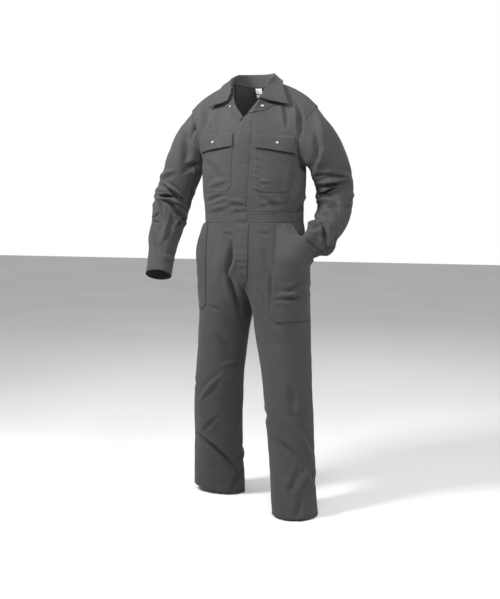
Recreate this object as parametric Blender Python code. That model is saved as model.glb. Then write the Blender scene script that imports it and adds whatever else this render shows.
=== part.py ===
"""Boiler suit in its worn shape with no wearer: every cut and sewn piece is a thin hollow wall.

Frame: metres, +Z up. The wearer faces -Y and the wearer's left is +X. The origin is in the middle
of the neck opening, 8 mm above the back neck seam, where neck and shoulders carry the garment.

How it is made: one open skin is laid out from short tables of sections (torso, legs, sleeves).
Its facets are marked with the panel they belong to. Each panel is that part of the skin with a
wall inwards. A piece that is sewn on top is cut from the same facets and lifted off them.
"""
import math
from collections import namedtuple

import bmesh
import bpy
from mathutils import Vector
from mathutils.bvhtree import BVHTree

# ---------------------------------------------------------------- driving dimensions (metres)
CLOTH = 0.0012          # wall of a cut panel
TRIM = 0.0010           # wall of a piece sewn on top of a panel
GAP = 0.0003            # clear space at seams and under a piece that lies on another
SEAM_PULL = 0.00045     # how far each panel stops short of the middle of a seam
SNAP = 0.0015           # corners this near to a cutting line are moved onto it
FACES_BACK = 0.35       # facets whose normal has more Y than this face backwards

STUD_RADIUS = 0.0052
STUD_HEIGHT = 0.0024
STUD_CLEAR = 0.0022     # a stud's flat foot clears the roll of the cloth under it
STUD_SIDES = 16
LABEL_WIDTH = 0.024
LABEL_CENTRE = -0.006
COLLAR_WALL = 0.0018    # two layers of cloth and their interlining
COLLAR_COLUMNS = 22
COLLAR_ROWS = 8
LAPEL_ROLL = 0.004      # height of a lapel's roll next to its fold
ROLL_START = 0.008      # the roll is at its height this far from the fold
ROLL_REACH = 0.030      # and has come down again this far from it

QUARTER = 7             # facets from centre front to side seam
HALF = 2 * QUARTER
WHOLE = 4 * QUARTER
NECK_FACETS = 3         # of the QUARTER facets, those that end on the neckline
RISE = 8                # facets from underarm to shoulder
SMOOTHING = 3           # passes that even out the four patches of the upper body
CROTCH = 6              # facets along the crotch seam, back to front
LEG_ROUND = HALF + CROTCH
SLEEVE_ROUND = 2 * RISE
SQUARENESS = 0.92       # power that makes the torso sections a little fuller than an oval
RING_BELOW_CROTCH = 0.55  # where a leg's extra ring lies between the crotch and the first section
SLEEVE_FRONT_SEAM = 6   # sleeve columns that the two sleeve seams follow
SLEEVE_BACK_SEAM = 13

# ---------------------------------------------------------------- tables of sections
Section = namedtuple("Section", "name z half_width front back")
TORSO = [
    Section("underarm", -0.300, 0.192, 0.130, 0.130),
    Section("ribs", -0.350, 0.191, 0.134, 0.128),
    Section("above waist", -0.405, 0.187, 0.133, 0.126),
    Section("waistband top", -0.456, 0.179, 0.128, 0.122),
    Section("waistband foot", -0.493, 0.179, 0.128, 0.124),
    Section("below waist", -0.540, 0.190, 0.136, 0.138),
    Section("hip", -0.590, 0.200, 0.144, 0.150),
    Section("seat", -0.640, 0.205, 0.149, 0.154),
]
BAND_TOP = 3            # rows of TORSO between which the waistband lies
BAND_FOOT = 4

# centre lines of the upper body, from the underarm level up
FRONT_CENTRE = [(0, -0.130, -0.300), (0, -0.127, -0.242), (0, -0.118, -0.184), (0, -0.103, -0.131)]
BACK_CENTRE = [(0, 0.130, -0.300), (0, 0.131, -0.213), (0, 0.112, -0.096), (0, 0.066, -0.008)]

# left armhole seam, from underarm to shoulder point, in front and behind
ARMHOLE_FRONT = [(0.192, 0.000, -0.300), (0.181, -0.046, -0.269), (0.183, -0.071, -0.218),
                 (0.196, -0.068, -0.170), (0.219, -0.042, -0.124), (0.237, -0.008, -0.092)]
ARMHOLE_BACK = [(0.192, 0.000, -0.300), (0.181, 0.050, -0.269), (0.182, 0.078, -0.218),
                (0.194, 0.072, -0.165), (0.217, 0.038, -0.117), (0.237, -0.008, -0.092)]

# left half of the neckline and the shoulder seam
NECK_POINT = (0.072, -0.004, 0.003)
FOLD_LINE = [(0, -0.103, -0.131), (0.029, -0.101, -0.100), (0.052, -0.080, -0.058), NECK_POINT]
BACK_NECK = [(0, 0.066, -0.008), (0.033, 0.058, -0.006), (0.060, 0.032, 0.000), NECK_POINT]
SHOULDER = [NECK_POINT, (0.118, -0.006, -0.012), (0.162, -0.008, -0.033), (0.202, -0.009, -0.058),
            (0.237, -0.008, -0.092)]

# crotch seam from centre back to centre front (y, z), between the ends of the seat section
CROTCH_SEAM = [(0.130, -0.694), (0.080, -0.733), (0.015, -0.754), (-0.062, -0.757), (-0.130, -0.724)]

Leg = namedtuple("Leg", "name z x y half_width half_depth inner_drop")
LEFT_LEG = [
    Leg("thigh", -0.810, 0.108, -0.018, 0.1040, 0.122, 0.0),
    Leg("mid thigh", -0.885, 0.118, -0.026, 0.1000, 0.115, 0.0),
    Leg("above knee", -0.965, 0.130, -0.036, 0.0930, 0.108, 0.0),
    Leg("upper knee", -1.046, 0.142, -0.048, 0.0880, 0.103, 0.0),
    Leg("knee", -1.128, 0.152, -0.059, 0.0860, 0.099, 0.0),
    Leg("below knee", -1.215, 0.163, -0.074, 0.0840, 0.095, 0.0),
    Leg("calf", -1.308, 0.174, -0.091, 0.0820, 0.091, 0.0),
    Leg("shin", -1.403, 0.186, -0.109, 0.0810, 0.088, 0.0),
    Leg("hem", -1.498, 0.198, -0.127, 0.0810, 0.0845, 0.0),
]
RIGHT_LEG = [
    Leg("thigh", -0.810, -0.105, -0.007, 0.0950, 0.122, 0.0),
    Leg("mid thigh", -0.885, -0.115, -0.004, 0.0910, 0.115, 0.0),
    Leg("above knee", -0.965, -0.125, -0.001, 0.0890, 0.108, 0.0),
    Leg("upper knee", -1.046, -0.134, 0.002, 0.0885, 0.104, 0.0),
    Leg("knee", -1.128, -0.141, 0.006, 0.0895, 0.100, 0.0),
    Leg("below knee", -1.215, -0.146, 0.014, 0.0905, 0.094, 0.001),
    Leg("calf", -1.308, -0.150, 0.025, 0.0930, 0.086, 0.003),
    Leg("shin", -1.400, -0.154, 0.039, 0.0970, 0.078, 0.007),
    Leg("hem", -1.490, -0.158, 0.054, 0.1015, 0.068, 0.012),
]

# each sleeve section by its point away from the body, its point next to it, and half its depth
Cross = namedtuple("Cross", "name away near half_depth")
HANGING_SLEEVE = [
    Cross("cap", (-0.262, -0.008, -0.124), (-0.194, 0.000, -0.309), 0.078),
    Cross("shoulder", (-0.298, -0.007, -0.174), (-0.201, 0.000, -0.317), 0.081),
    Cross("upper arm", (-0.327, -0.006, -0.238), (-0.207, -0.002, -0.326), 0.080),
    Cross("biceps", (-0.353, -0.004, -0.309), (-0.215, -0.004, -0.348), 0.077),
    Cross("above elbow", (-0.374, -0.004, -0.367), (-0.236, -0.006, -0.384), 0.073),
    Cross("elbow", (-0.387, -0.012, -0.425), (-0.247, -0.014, -0.430), 0.070),
    Cross("forearm", (-0.388, -0.038, -0.492), (-0.256, -0.040, -0.487), 0.065),
    Cross("mid forearm", (-0.378, -0.068, -0.556), (-0.267, -0.070, -0.549), 0.058),
    Cross("above cuff", (-0.367, -0.101, -0.620), (-0.272, -0.103, -0.614), 0.050),
    Cross("cuff", (-0.364, -0.133, -0.684), (-0.268, -0.135, -0.676), 0.047),
]
POCKETED_SLEEVE = [
    Cross("cap", (0.262, -0.004, -0.124), (0.194, 0.002, -0.309), 0.078),
    Cross("shoulder", (0.299, 0.007, -0.174), (0.201, 0.012, -0.318), 0.080),
    Cross("upper arm", (0.328, 0.024, -0.238), (0.206, 0.026, -0.330), 0.078),
    Cross("biceps", (0.346, 0.046, -0.308), (0.209, 0.046, -0.352), 0.074),
    Cross("elbow", (0.350, 0.066, -0.378), (0.215, 0.062, -0.392), 0.070),
    Cross("below elbow", (0.352, 0.052, -0.433), (0.219, 0.044, -0.436), 0.065),
    Cross("forearm", (0.343, 0.015, -0.490), (0.221, 0.011, -0.486), 0.061),
    Cross("bend", (0.320, -0.038, -0.538), (0.218, -0.010, -0.528), 0.055),
    Cross("wrist", (0.252, -0.072, -0.570), (0.205, -0.044, -0.565), 0.047),
    Cross("in the pocket", (0.225, -0.103, -0.599), (0.188, -0.073, -0.595), 0.043),
    Cross("cuff", (0.202, -0.126, -0.628), (0.171, -0.095, -0.624), 0.041),
]

# the largest folds: a soft trough (or ridge, where it is raised) from start to end
Fold = namedtuple("Fold", "name start end reach raised")
FOLDS = [
    Fold("right groin", (-0.034, -0.137, -0.560), (-0.050, -0.135, -0.690), 0.030, -0.010),
    Fold("right inner thigh", (-0.050, -0.135, -0.690), (-0.012, -0.075, -0.850), 0.032, -0.012),
    Fold("left groin", (0.050, -0.140, -0.610), (0.022, -0.120, -0.760), 0.034, -0.007),
    Fold("right elbow upper", (-0.390, -0.050, -0.395), (-0.250, -0.070, -0.440), 0.026, 0.007),
    Fold("right elbow lower", (-0.385, -0.070, -0.480), (-0.255, -0.090, -0.500), 0.026, -0.007),
    Fold("left elbow", (0.220, 0.000, -0.400), (0.350, 0.020, -0.420), 0.028, -0.007),
    Fold("left forearm", (0.225, -0.050, -0.520), (0.300, -0.060, -0.510), 0.026, 0.009),
    Fold("right shin", (-0.230, -0.040, -1.330), (-0.080, -0.030, -1.430), 0.034, -0.009),
    Fold("left shin", (0.100, -0.160, -1.270), (0.240, -0.150, -1.400), 0.034, -0.009),
    Fold("right knee", (-0.200, -0.080, -1.120), (-0.080, -0.080, -1.060), 0.036, 0.006),
    Fold("left knee back", (0.080, 0.040, -1.090), (0.220, 0.030, -1.150), 0.036, -0.008),
    Fold("right knee back", (-0.220, 0.100, -1.120), (-0.060, 0.100, -1.080), 0.036, -0.008),
]

# ---------------------------------------------------------------- pieces sewn on top
# outlines (x, z) run counterclockwise as seen from in front
PLACKET = [(0.006, -0.126), (-0.006, -0.150), (-0.017, -0.218), (-0.025, -0.310), (-0.028, -0.454),
           (0.026, -0.454), (0.031, -0.310), (0.038, -0.204), (0.036, -0.147)]
WAISTBAND_LAP = [(-0.028, -0.458), (-0.028, -0.491), (0.026, -0.491), (0.026, -0.458)]
FLY = [(-0.028, -0.496), (-0.028, -0.560), (-0.003, -0.717), (0.005, -0.718), (0.020, -0.680),
       (0.026, -0.615), (0.026, -0.496)]
LEFT_LAPEL = [(0.046, -0.069), (0.014, -0.115), (0.018, -0.116), (0.068, -0.107), (0.092, -0.089)]
RIGHT_LAPEL = [(-0.043, -0.067), (-0.084, -0.084), (-0.012, -0.143), (-0.004, -0.132)]

ChestPocket = namedtuple("ChestPocket", "side inner outer mouth foot")
CHEST_POCKETS = [
    ChestPocket("left", 0.047, 0.170, -0.204, -0.387),
    ChestPocket("right", -0.037, -0.168, -0.200, -0.385),
]
Flap = namedtuple("Flap", "side inner outer inner_top outer_top inner_foot outer_foot stud")
FLAPS = [
    Flap("left", 0.044, 0.174, -0.187, -0.195, -0.235, -0.255, (0.120, -0.219)),
    Flap("right", -0.034, -0.172, -0.179, -0.184, -0.229, -0.245, (-0.116, -0.211)),
]
FLAP_DEPTH = 0.060
FLAP_FLARE = 0.004      # the foot of a flap stands this far off the pocket
CHAMFER = 0.020         # cut-off lower corners of pockets

HipPocket = namedtuple("HipPocket", "side inner_top inner_foot foot gape mouth_top mouth_foot")
HIP_POCKETS = [
    HipPocket("left", 0.120, 0.108, -0.834, 0.020, (0.150, -0.106, -0.494), (0.206, -0.004, -0.640)),
    HipPocket("right", -0.145, -0.139, -0.800, 0.014, (-0.1560, -0.102, -0.494),
              (-0.206, -0.004, -0.632)),
]
POCKET_TOP = -0.4945    # pockets start just under the waistband
CUFF_CLEARANCE = 0.007  # between the cuff in the left pocket and the pocket
CUFF_REACH = 0.130      # no part of that cuff stands further off the leg
GAPE_WIDTH = 0.050      # how far from its mouth a pocket stands off the leg
GAPE_END = 0.040        # how far from the ends of its mouth it comes down again
EVENING = 14            # passes that spread the bulge of a pocket over its cloth

LAPEL_STUDS = [("left", (0.060, -0.092)), ("right", (-0.058, -0.089))]
LABELS = [("label_main", -0.012, -0.031), ("label_size", -0.034, -0.044)]

# collar stations from centre back to the left gorge: neck seam, fold at the top, edge of the leaf
Station = namedtuple("Station", "seam crest leaf")
COLLAR = [
    Station((0.000, 0.0665, -0.0060), (0.000, 0.0770, 0.0400), (0.000, 0.1080, -0.0140)),
    Station((0.033, 0.0585, -0.0040), (0.035, 0.0680, 0.0400), (0.050, 0.0960, -0.0110)),
    Station((0.057, 0.0360, 0.0030), (0.057, 0.0430, 0.0370), (0.084, 0.0600, 0.0000)),
    Station((0.067, 0.0150, 0.0070), (0.066, 0.0120, 0.0310), (0.102, 0.0160, 0.0040)),
    Station((0.069, -0.0060, 0.0075), (0.070, -0.0180, 0.0170), (0.113, -0.0200, -0.0050)),
    Station((0.067, -0.0310, -0.0100), (0.071, -0.0460, 0.0020), (0.127, -0.0500, -0.0310)),
    Station((0.060, -0.0660, -0.0440), (0.064, -0.0740, -0.0330), (0.142, -0.0700, -0.0590)),
    Station((0.047, -0.0890, -0.0650), (0.051, -0.0930, -0.0610), (0.152, -0.0720, -0.0820)),
]

# ---------------------------------------------------------------- colours
GREY_TWILL = (0.082, 0.080, 0.086, 1.0)
GREY_TRIM = (0.074, 0.072, 0.077, 1.0)
STEEL = (0.42, 0.42, 0.43, 1.0)
WHITE = (0.86, 0.86, 0.85, 1.0)


# ---------------------------------------------------------------- small helpers
def material(name, colour, roughness, metallic=0.0):
    """A Principled material with one colour."""
    made = bpy.data.materials.new(name)
    made.use_nodes = True
    shader = made.node_tree.nodes["Principled BSDF"]
    shader.inputs["Base Color"].default_value = colour
    shader.inputs["Roughness"].default_value = roughness
    shader.inputs["Metallic"].default_value = metallic
    return made


def ease(value):
    """0 below 0, 1 above 1, and a smooth S between."""
    value = min(max(value, 0.0), 1.0)
    return value * value * (3.0 - 2.0 * value)


def curve(points, count):
    """count + 1 points on a smooth curve through the given points, evenly spread along it."""
    knots = [Vector(p) for p in points]
    ends = [2 * knots[0] - knots[1]] + knots + [2 * knots[-1] - knots[-2]]
    fine = []
    for i in range(len(knots) - 1):
        a, b, c, d = ends[i:i + 4]
        for step in range(12):
            t = step / 12
            fine.append(0.5 * (2 * b + (c - a) * t + (2 * a - 5 * b + 4 * c - d) * t * t
                               + (3 * b - a - 3 * c + d) * t ** 3))
    fine.append(knots[-1])
    lengths = [0.0]
    for a, b in zip(fine, fine[1:]):
        lengths.append(lengths[-1] + (b - a).length)
    result = []
    at = 0
    for i in range(count + 1):
        target = lengths[-1] * i / count
        while at < len(fine) - 2 and lengths[at + 1] < target:
            at += 1
        span = lengths[at + 1] - lengths[at]
        result.append(fine[at].lerp(fine[at + 1], (target - lengths[at]) / span))
    return result


def mirrored(points):
    """The same points on the wearer's right."""
    return [Vector((-p[0], p[1], p[2])) for p in points]


def distance_to_line(point, start, end):
    """How far a point lies from the straight stretch between two points."""
    run = end - start
    along = min(max((point - start).dot(run) / run.length_squared, 0.0), 1.0)
    return (point - start - run * along).length


# ---------------------------------------------------------------- the skin, section by section
def torso_ring(section):
    """One level section: column 0 at centre front, then round by the wearer's left."""
    ring = []
    for column in range(WHOLE):
        turn = math.tau * column / WHOLE
        across = math.copysign(abs(math.sin(turn)) ** SQUARENESS, math.sin(turn))
        depth = math.copysign(abs(math.cos(turn)) ** SQUARENESS, math.cos(turn))
        reach = section.front if depth > 0 else section.back
        ring.append(Vector((section.half_width * across, -reach * depth, section.z)))
    return ring


def quarter_patch(bottom, top, centre, armhole):
    """Rows of points that fill the space between four edges of the upper body."""
    rows = []
    for j in range(RISE + 1):
        v = j / RISE
        row = []
        for i in range(QUARTER + 1):
            u = i / QUARTER
            along = bottom[i].lerp(top[i], v)
            across = centre[j].lerp(armhole[j], u)
            corners = bottom[0].lerp(bottom[-1], u).lerp(top[0].lerp(top[-1], u), v)
            row.append(along + across - corners)
        rows.append(row)
    return rows


def leg_ring(section, side):
    """One section of a leg: columns run outside first, then along the inseam side."""
    ring = []
    for column in range(LEG_ROUND):
        turn = math.tau * (column - QUARTER) / LEG_ROUND
        x = section.x + side * section.half_width * math.cos(turn)
        y = section.y + section.half_depth * math.sin(turn)
        z = section.z + section.inner_drop * math.cos(turn)
        ring.append(Vector((x, y, z)))
    return ring


def sleeve_ring(row, tangent, side):
    """One section of a sleeve: column 0 away from the body, then round by the front."""
    away, near = Vector(row.away), Vector(row.near)
    middle = (away + near) / 2
    half = (away - near) / 2
    front = tangent.cross(half).normalized() * row.half_depth * side
    ring = []
    for column in range(SLEEVE_ROUND):
        turn = math.tau * column / SLEEVE_ROUND
        ring.append(middle + half * math.cos(turn) + front * math.sin(turn))
    return ring


class Skin:
    """The open skin of the whole garment, with a panel name on every facet."""

    def __init__(self):
        self.mesh = bmesh.new()
        self.panel = self.mesh.faces.layers.int.new("panel")
        self.out = self.mesh.verts.layers.float_vector.new("out")
        self.names = []

    def vertices(self, points):
        return [self.mesh.verts.new(p) for p in points]

    def facet(self, corners, name):
        if name not in self.names:
            self.names.append(name)
        face = self.mesh.faces.new(corners)
        face[self.panel] = self.names.index(name)

    def strip(self, upper, lower, panel_of, closed):
        """Facets between two rows of vertices; panel_of names the piece for each column."""
        count = len(upper)
        for i in range(count if closed else count - 1):
            k = (i + 1) % count
            self.facet([upper[i], lower[i], lower[k], upper[k]], panel_of(i))

    def finish(self):
        """Adds the largest folds and stores the outward direction at every vertex."""
        bmesh.ops.triangulate(self.mesh, faces=self.mesh.faces[:], quad_method="SHORT_EDGE")
        self.mesh.normal_update()
        moves = {v: v.normal * fold_height(v.co) for v in self.mesh.verts}
        for vertex, move in moves.items():
            vertex.co += move
        self.mesh.normal_update()
        for vertex in self.mesh.verts:
            vertex[self.out] = vertex.normal

    def piece(self, *names):
        """A copy of the facets of the named panels."""
        wanted = {self.names.index(name) for name in names}
        copy = self.mesh.copy()
        layer = copy.faces.layers.int["panel"]
        others = [face for face in copy.faces if face[layer] not in wanted]
        bmesh.ops.delete(copy, geom=others, context="FACES")
        return copy


def fold_height(point):
    """How far the largest folds raise (or sink) the cloth at a point."""
    height = 0.0
    for fold in FOLDS:
        start, end = Vector(fold.start), Vector(fold.end)
        away = distance_to_line(point, start, end)
        height += fold.raised * ease(1.0 - away / (2.0 * fold.reach))
    return height


def torso_panel(prefix):
    """Panel names by column: two fronts and one back."""
    def name(column):
        if column < QUARTER:
            return prefix + "_left"
        if column >= WHOLE - QUARTER:
            return prefix + "_right"
        return prefix + "_back" if prefix != "front" else "back"
    return name


def seat_panel(column):
    """Leg panels between the waistband and the crotch."""
    side = "left" if column < HALF else "right"
    front = column < QUARTER or column >= WHOLE - QUARTER
    return f"leg_{'front' if front else 'back'}_{side}"


def build_torso(skin):
    """Rings from underarm to seat; returns the vertices of the first and the last ring."""
    rings = [skin.vertices(torso_ring(section)) for section in TORSO]
    for row in range(len(TORSO) - 1):
        if row < BAND_TOP:
            panel_of = torso_panel("front")
        elif row < BAND_FOOT:
            panel_of = torso_panel("waistband")
        else:
            panel_of = seat_panel
        skin.strip(rings[row], rings[row + 1], panel_of, closed=True)
    return rings[0], rings[-1]


def build_upper_body(skin, underarm):
    """Four patches from the underarm level to neckline and shoulders; returns two armholes."""
    shoulder = curve(SHOULDER, QUARTER - NECK_FACETS)
    tops = {"front": curve(FOLD_LINE, NECK_FACETS) + shoulder[1:],
            "back": curve(BACK_NECK, NECK_FACETS) + shoulder[1:]}
    centres = {"front": curve(FRONT_CENTRE, RISE), "back": curve(BACK_CENTRE, RISE)}
    armholes = {"front": curve(ARMHOLE_FRONT, RISE), "back": curve(ARMHOLE_BACK, RISE)}
    grids = {}
    for side in (1, -1):
        shared = {}
        for face in ("front", "back"):
            start = 0 if face == "front" else HALF
            step = side if face == "front" else -side
            bottom = [underarm[(start + step * i) % WHOLE] for i in range(QUARTER + 1)]
            low = [v.co for v in bottom] if side > 0 else mirrored([v.co for v in bottom])
            rows = quarter_patch(low, tops[face], centres[face], armholes[face])
            grid = [bottom]
            for j in range(1, RISE + 1):
                row = []
                for i in range(QUARTER + 1):
                    place = rows[j][i] if side > 0 else mirrored([rows[j][i]])[0]
                    on_centre = i == 0 and side < 0
                    on_shoulder = j == RISE and i >= NECK_FACETS and face == "back"
                    if on_centre:
                        row.append(grids[(1, face)][j][0])
                    elif on_shoulder:
                        row.append(shared[i])
                    else:
                        row.append(skin.vertices([place])[0])
                        if j == RISE and face == "front":
                            shared[i] = row[-1]
                grid.append(row)
            grids[(side, face)] = grid
            name = "back" if face == "back" else ("front_left" if side > 0 else "front_right")
            for j in range(RISE):
                lower, upper = grid[j], grid[j + 1]
                if (side > 0) != (face == "front"):
                    lower, upper = lower[::-1], upper[::-1]
                skin.strip(upper, lower, lambda column, n=name: n, closed=False)
    inside = {v for grid in grids.values() for row in grid[1:-1] for v in row[:-1]}
    for _ in range(SMOOTHING):
        bmesh.ops.smooth_vert(skin.mesh, verts=list(inside), factor=0.5, use_axis_x=True,
                              use_axis_y=True, use_axis_z=True)
    holes = {}
    for side in (1, -1):
        front = [row[QUARTER] for row in grids[(side, "front")]]
        back = [row[QUARTER] for row in grids[(side, "back")]]
        holes[side] = front[::-1] + back[1:-1]
    return holes


def leg_panel(name):
    """Front and back of a leg by column; the inseam is halfway along the crotch seam."""
    def panel(column):
        front = column < QUARTER or column >= HALF + CROTCH // 2
        return f"leg_{'front' if front else 'back'}_{name}"
    return panel


def build_legs(skin, seat):
    """Both legs, which share the crotch seam."""
    crotch = skin.vertices([(0.0, y, z) for y, z in CROTCH_SEAM])
    for side, table, name in ((1, LEFT_LEG, "left"), (-1, RIGHT_LEG, "right")):
        top = [seat[(side * k) % WHOLE] for k in range(HALF + 1)] + crotch
        rings = [leg_ring(section, side) for section in table]
        between = [a.co.lerp(b, RING_BELOW_CROTCH) for a, b in zip(top, rings[0])]
        upper = top
        for points in [between] + rings:
            lower = skin.vertices(points)
            if side > 0:
                skin.strip(upper, lower, leg_panel(name), closed=True)
            else:
                flipped = [upper[0]] + upper[:0:-1], [lower[0]] + lower[:0:-1]
                panel = leg_panel(name)
                skin.strip(*flipped, lambda i, p=panel: p(LEG_ROUND - 1 - i), closed=True)
            upper = lower


def sleeve_panel(name):
    """Upper and under sleeve by column."""
    def panel(column):
        under = SLEEVE_FRONT_SEAM <= column < SLEEVE_BACK_SEAM
        return f"sleeve_{'under' if under else 'upper'}_{name}"
    return panel


def build_sleeve(skin, armhole, table, side, name):
    """A sleeve from its armhole to its open cuff."""
    middles = [sum((v.co for v in armhole), Vector()) / len(armhole)]
    middles += [(Vector(row.away) + Vector(row.near)) / 2 for row in table]
    upper = armhole
    for i, row in enumerate(table):
        after = middles[min(i + 2, len(middles) - 1)]
        tangent = (after - middles[i]).normalized()
        lower = skin.vertices(sleeve_ring(row, tangent, side))
        panel = sleeve_panel(name)
        if side < 0:
            skin.strip(upper, lower, panel, closed=True)
        else:
            flipped = [upper[0]] + upper[:0:-1], [lower[0]] + lower[:0:-1]
            skin.strip(*flipped, lambda k, p=panel: p(SLEEVE_ROUND - 1 - k), closed=True)
        upper = lower


def build_skin():
    """The whole skin in one mesh."""
    skin = Skin()
    underarm, seat = build_torso(skin)
    holes = build_upper_body(skin, underarm)
    build_legs(skin, seat)
    build_sleeve(skin, holes[-1], HANGING_SLEEVE, -1, "right")
    build_sleeve(skin, holes[1], POCKETED_SLEEVE, 1, "left")
    skin.finish()
    return skin


# ---------------------------------------------------------------- walls and outlines
def pull_in(mesh, distance):
    """Moves the edge of an open mesh inwards along the cloth, to leave half of a seam's gap."""
    mesh.normal_update()
    moves = {}
    for edge in mesh.edges:
        if not edge.is_boundary:
            continue
        face = edge.link_faces[0]
        run = (edge.verts[1].co - edge.verts[0].co).normalized()
        inward = face.normal.cross(run)
        if inward.dot(face.calc_center_median() - edge.verts[0].co) < 0:
            inward.negate()
        for vertex in edge.verts:
            moves.setdefault(vertex, []).append(inward)
    for vertex, inward in moves.items():
        total = sum(inward, Vector())
        lean = max(total.length_squared / len(inward), 0.6)
        vertex.co += total * (distance / lean)


def wall(name, mesh, lift, thickness, mat, collection):
    """Closes an open mesh into a wall; lift is a number or a function of a corner of the skin."""
    out = mesh.verts.layers.float_vector["out"]
    height = lift if callable(lift) else (lambda vertex: lift)
    solid = bmesh.new()
    inner, outer = {}, {}
    for vertex in mesh.verts:
        if not vertex.link_faces:
            continue
        base = height(vertex)
        inner[vertex] = solid.verts.new(vertex.co + vertex[out] * base)
        outer[vertex] = solid.verts.new(vertex.co + vertex[out] * (base + thickness))
    for face in mesh.faces:
        solid.faces.new([outer[v] for v in face.verts])
        solid.faces.new([inner[v] for v in reversed(face.verts)])
    for edge in mesh.edges:
        if edge.is_boundary:
            loop = edge.link_loops[0]
            a, b = loop.vert, loop.link_loop_next.vert
            solid.faces.new([outer[b], outer[a], inner[a], inner[b]])
    mesh.free()
    return add_object(name, solid, mat, collection)


def add_object(name, mesh, mat, collection):
    """Turns a bmesh into a named object with its own material."""
    data = bpy.data.meshes.new(name)
    mesh.to_mesh(data)
    mesh.free()
    data.shade_smooth()
    data.set_sharp_from_angle(angle=math.radians(50))
    data.materials.append(mat)
    made = bpy.data.objects.new(name, data)
    collection.objects.link(made)
    return made


def keep_inside(mesh, place, outward):
    """Cuts an open mesh at a plane and keeps the side that outward points away from."""
    geometry = mesh.verts[:] + mesh.edges[:] + mesh.faces[:]
    bmesh.ops.bisect_plane(mesh, geom=geometry, dist=SNAP, plane_co=Vector(place),
                           plane_no=Vector(outward), clear_outer=True, clear_inner=False)


def trim(mesh, outline):
    """Cuts an open mesh to a convex outline (x, z), counterclockwise as seen from in front."""
    for start, end in zip(outline, outline[1:] + outline[:1]):
        run = Vector((end[0] - start[0], 0.0, end[1] - start[1]))
        keep_inside(mesh, (start[0], 0.0, start[1]), Vector((0.0, 1.0, 0.0)).cross(run).normalized())


def refine(mesh, cuts):
    """Splits every facet, so that a lifted piece can bend between the skin's own corners."""
    bmesh.ops.triangulate(mesh, faces=mesh.faces[:])
    bmesh.ops.subdivide_edges(mesh, edges=mesh.edges[:], cuts=cuts, use_grid_fill=True)


def front_facets(skin, *names):
    """The facets of some panels that face forwards."""
    mesh = skin.piece(*names)
    mesh.normal_update()
    behind = [face for face in mesh.faces if face.normal.y > FACES_BACK]
    bmesh.ops.delete(mesh, geom=behind, context="FACES")
    return mesh


# ---------------------------------------------------------------- pieces
def cloth(name, colour=GREY_TWILL):
    """The cloth of one piece."""
    return material(name, colour, 0.85)


def add_panels(skin, collection):
    """Every panel of the skin as a wall inwards."""
    for name in skin.names:
        mesh = skin.piece(name)
        pull_in(mesh, SEAM_PULL)
        wall(name, mesh, -CLOTH, CLOTH, cloth(name), collection)


def add_front_strips(skin, collection):
    """Placket, the lapped end of the waistband and the fly, down the centre front."""
    strips = [("placket", PLACKET, ("front_left", "front_right")),
              ("waistband_lap", WAISTBAND_LAP, ("waistband_left", "waistband_right")),
              ("fly", FLY, ("leg_front_left", "leg_front_right"))]
    for name, outline, panels in strips:
        mesh = front_facets(skin, *panels)
        trim(mesh, outline)
        wall(name, mesh, 2 * GAP, TRIM, cloth(name), collection)


def add_lapels(skin, collection):
    """Turned-out tops of the fronts: each rolls over at its fold and lies flat on the chest."""
    for name, outline in (("left", LEFT_LAPEL), ("right", RIGHT_LAPEL)):
        mesh = front_facets(skin, "front_" + name)
        trim(mesh, outline)
        refine(mesh, 1)
        sign = 1 if name == "left" else -1
        fold = [Vector((sign * x, y, z)) for x, y, z in (FOLD_LINE[0], FOLD_LINE[2])]

        def lift(vertex, fold=fold):
            away = distance_to_line(vertex.co, *fold)
            return 2 * GAP + LAPEL_ROLL * ease(away / ROLL_START) * ease(1.0 - away / ROLL_REACH)
        wall("lapel_" + name, mesh, lift, TRIM, cloth("lapel_" + name, GREY_TRIM), collection)


def add_collar(collection):
    """One band that stands up from the neck seam, folds over and lies on the shoulders."""
    lines = []
    for part in ("seam", "crest", "leaf"):
        half = [Vector(getattr(station, part)) for station in COLLAR]
        lines.append(curve(mirrored(half)[:0:-1] + half, COLLAR_COLUMNS))
    mesh = bmesh.new()
    columns = []
    for seam, crest, leaf in zip(*lines):
        rounded = crest.lerp(leaf, 0.35) + (crest - seam) * 0.10
        profile = curve([seam, seam.lerp(crest, 0.6), crest, rounded, leaf], COLLAR_ROWS)
        columns.append([mesh.verts.new(p) for p in profile])
    for left, right in zip(columns, columns[1:]):
        for i in range(COLLAR_ROWS):
            mesh.faces.new([left[i], right[i], right[i + 1], left[i + 1]])
    mesh.normal_update()
    out = mesh.verts.layers.float_vector.new("out")
    for vertex in mesh.verts:
        vertex[out] = vertex.normal
    wall("collar", mesh, 0.0, COLLAR_WALL, cloth("collar", GREY_TRIM), collection)


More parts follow.
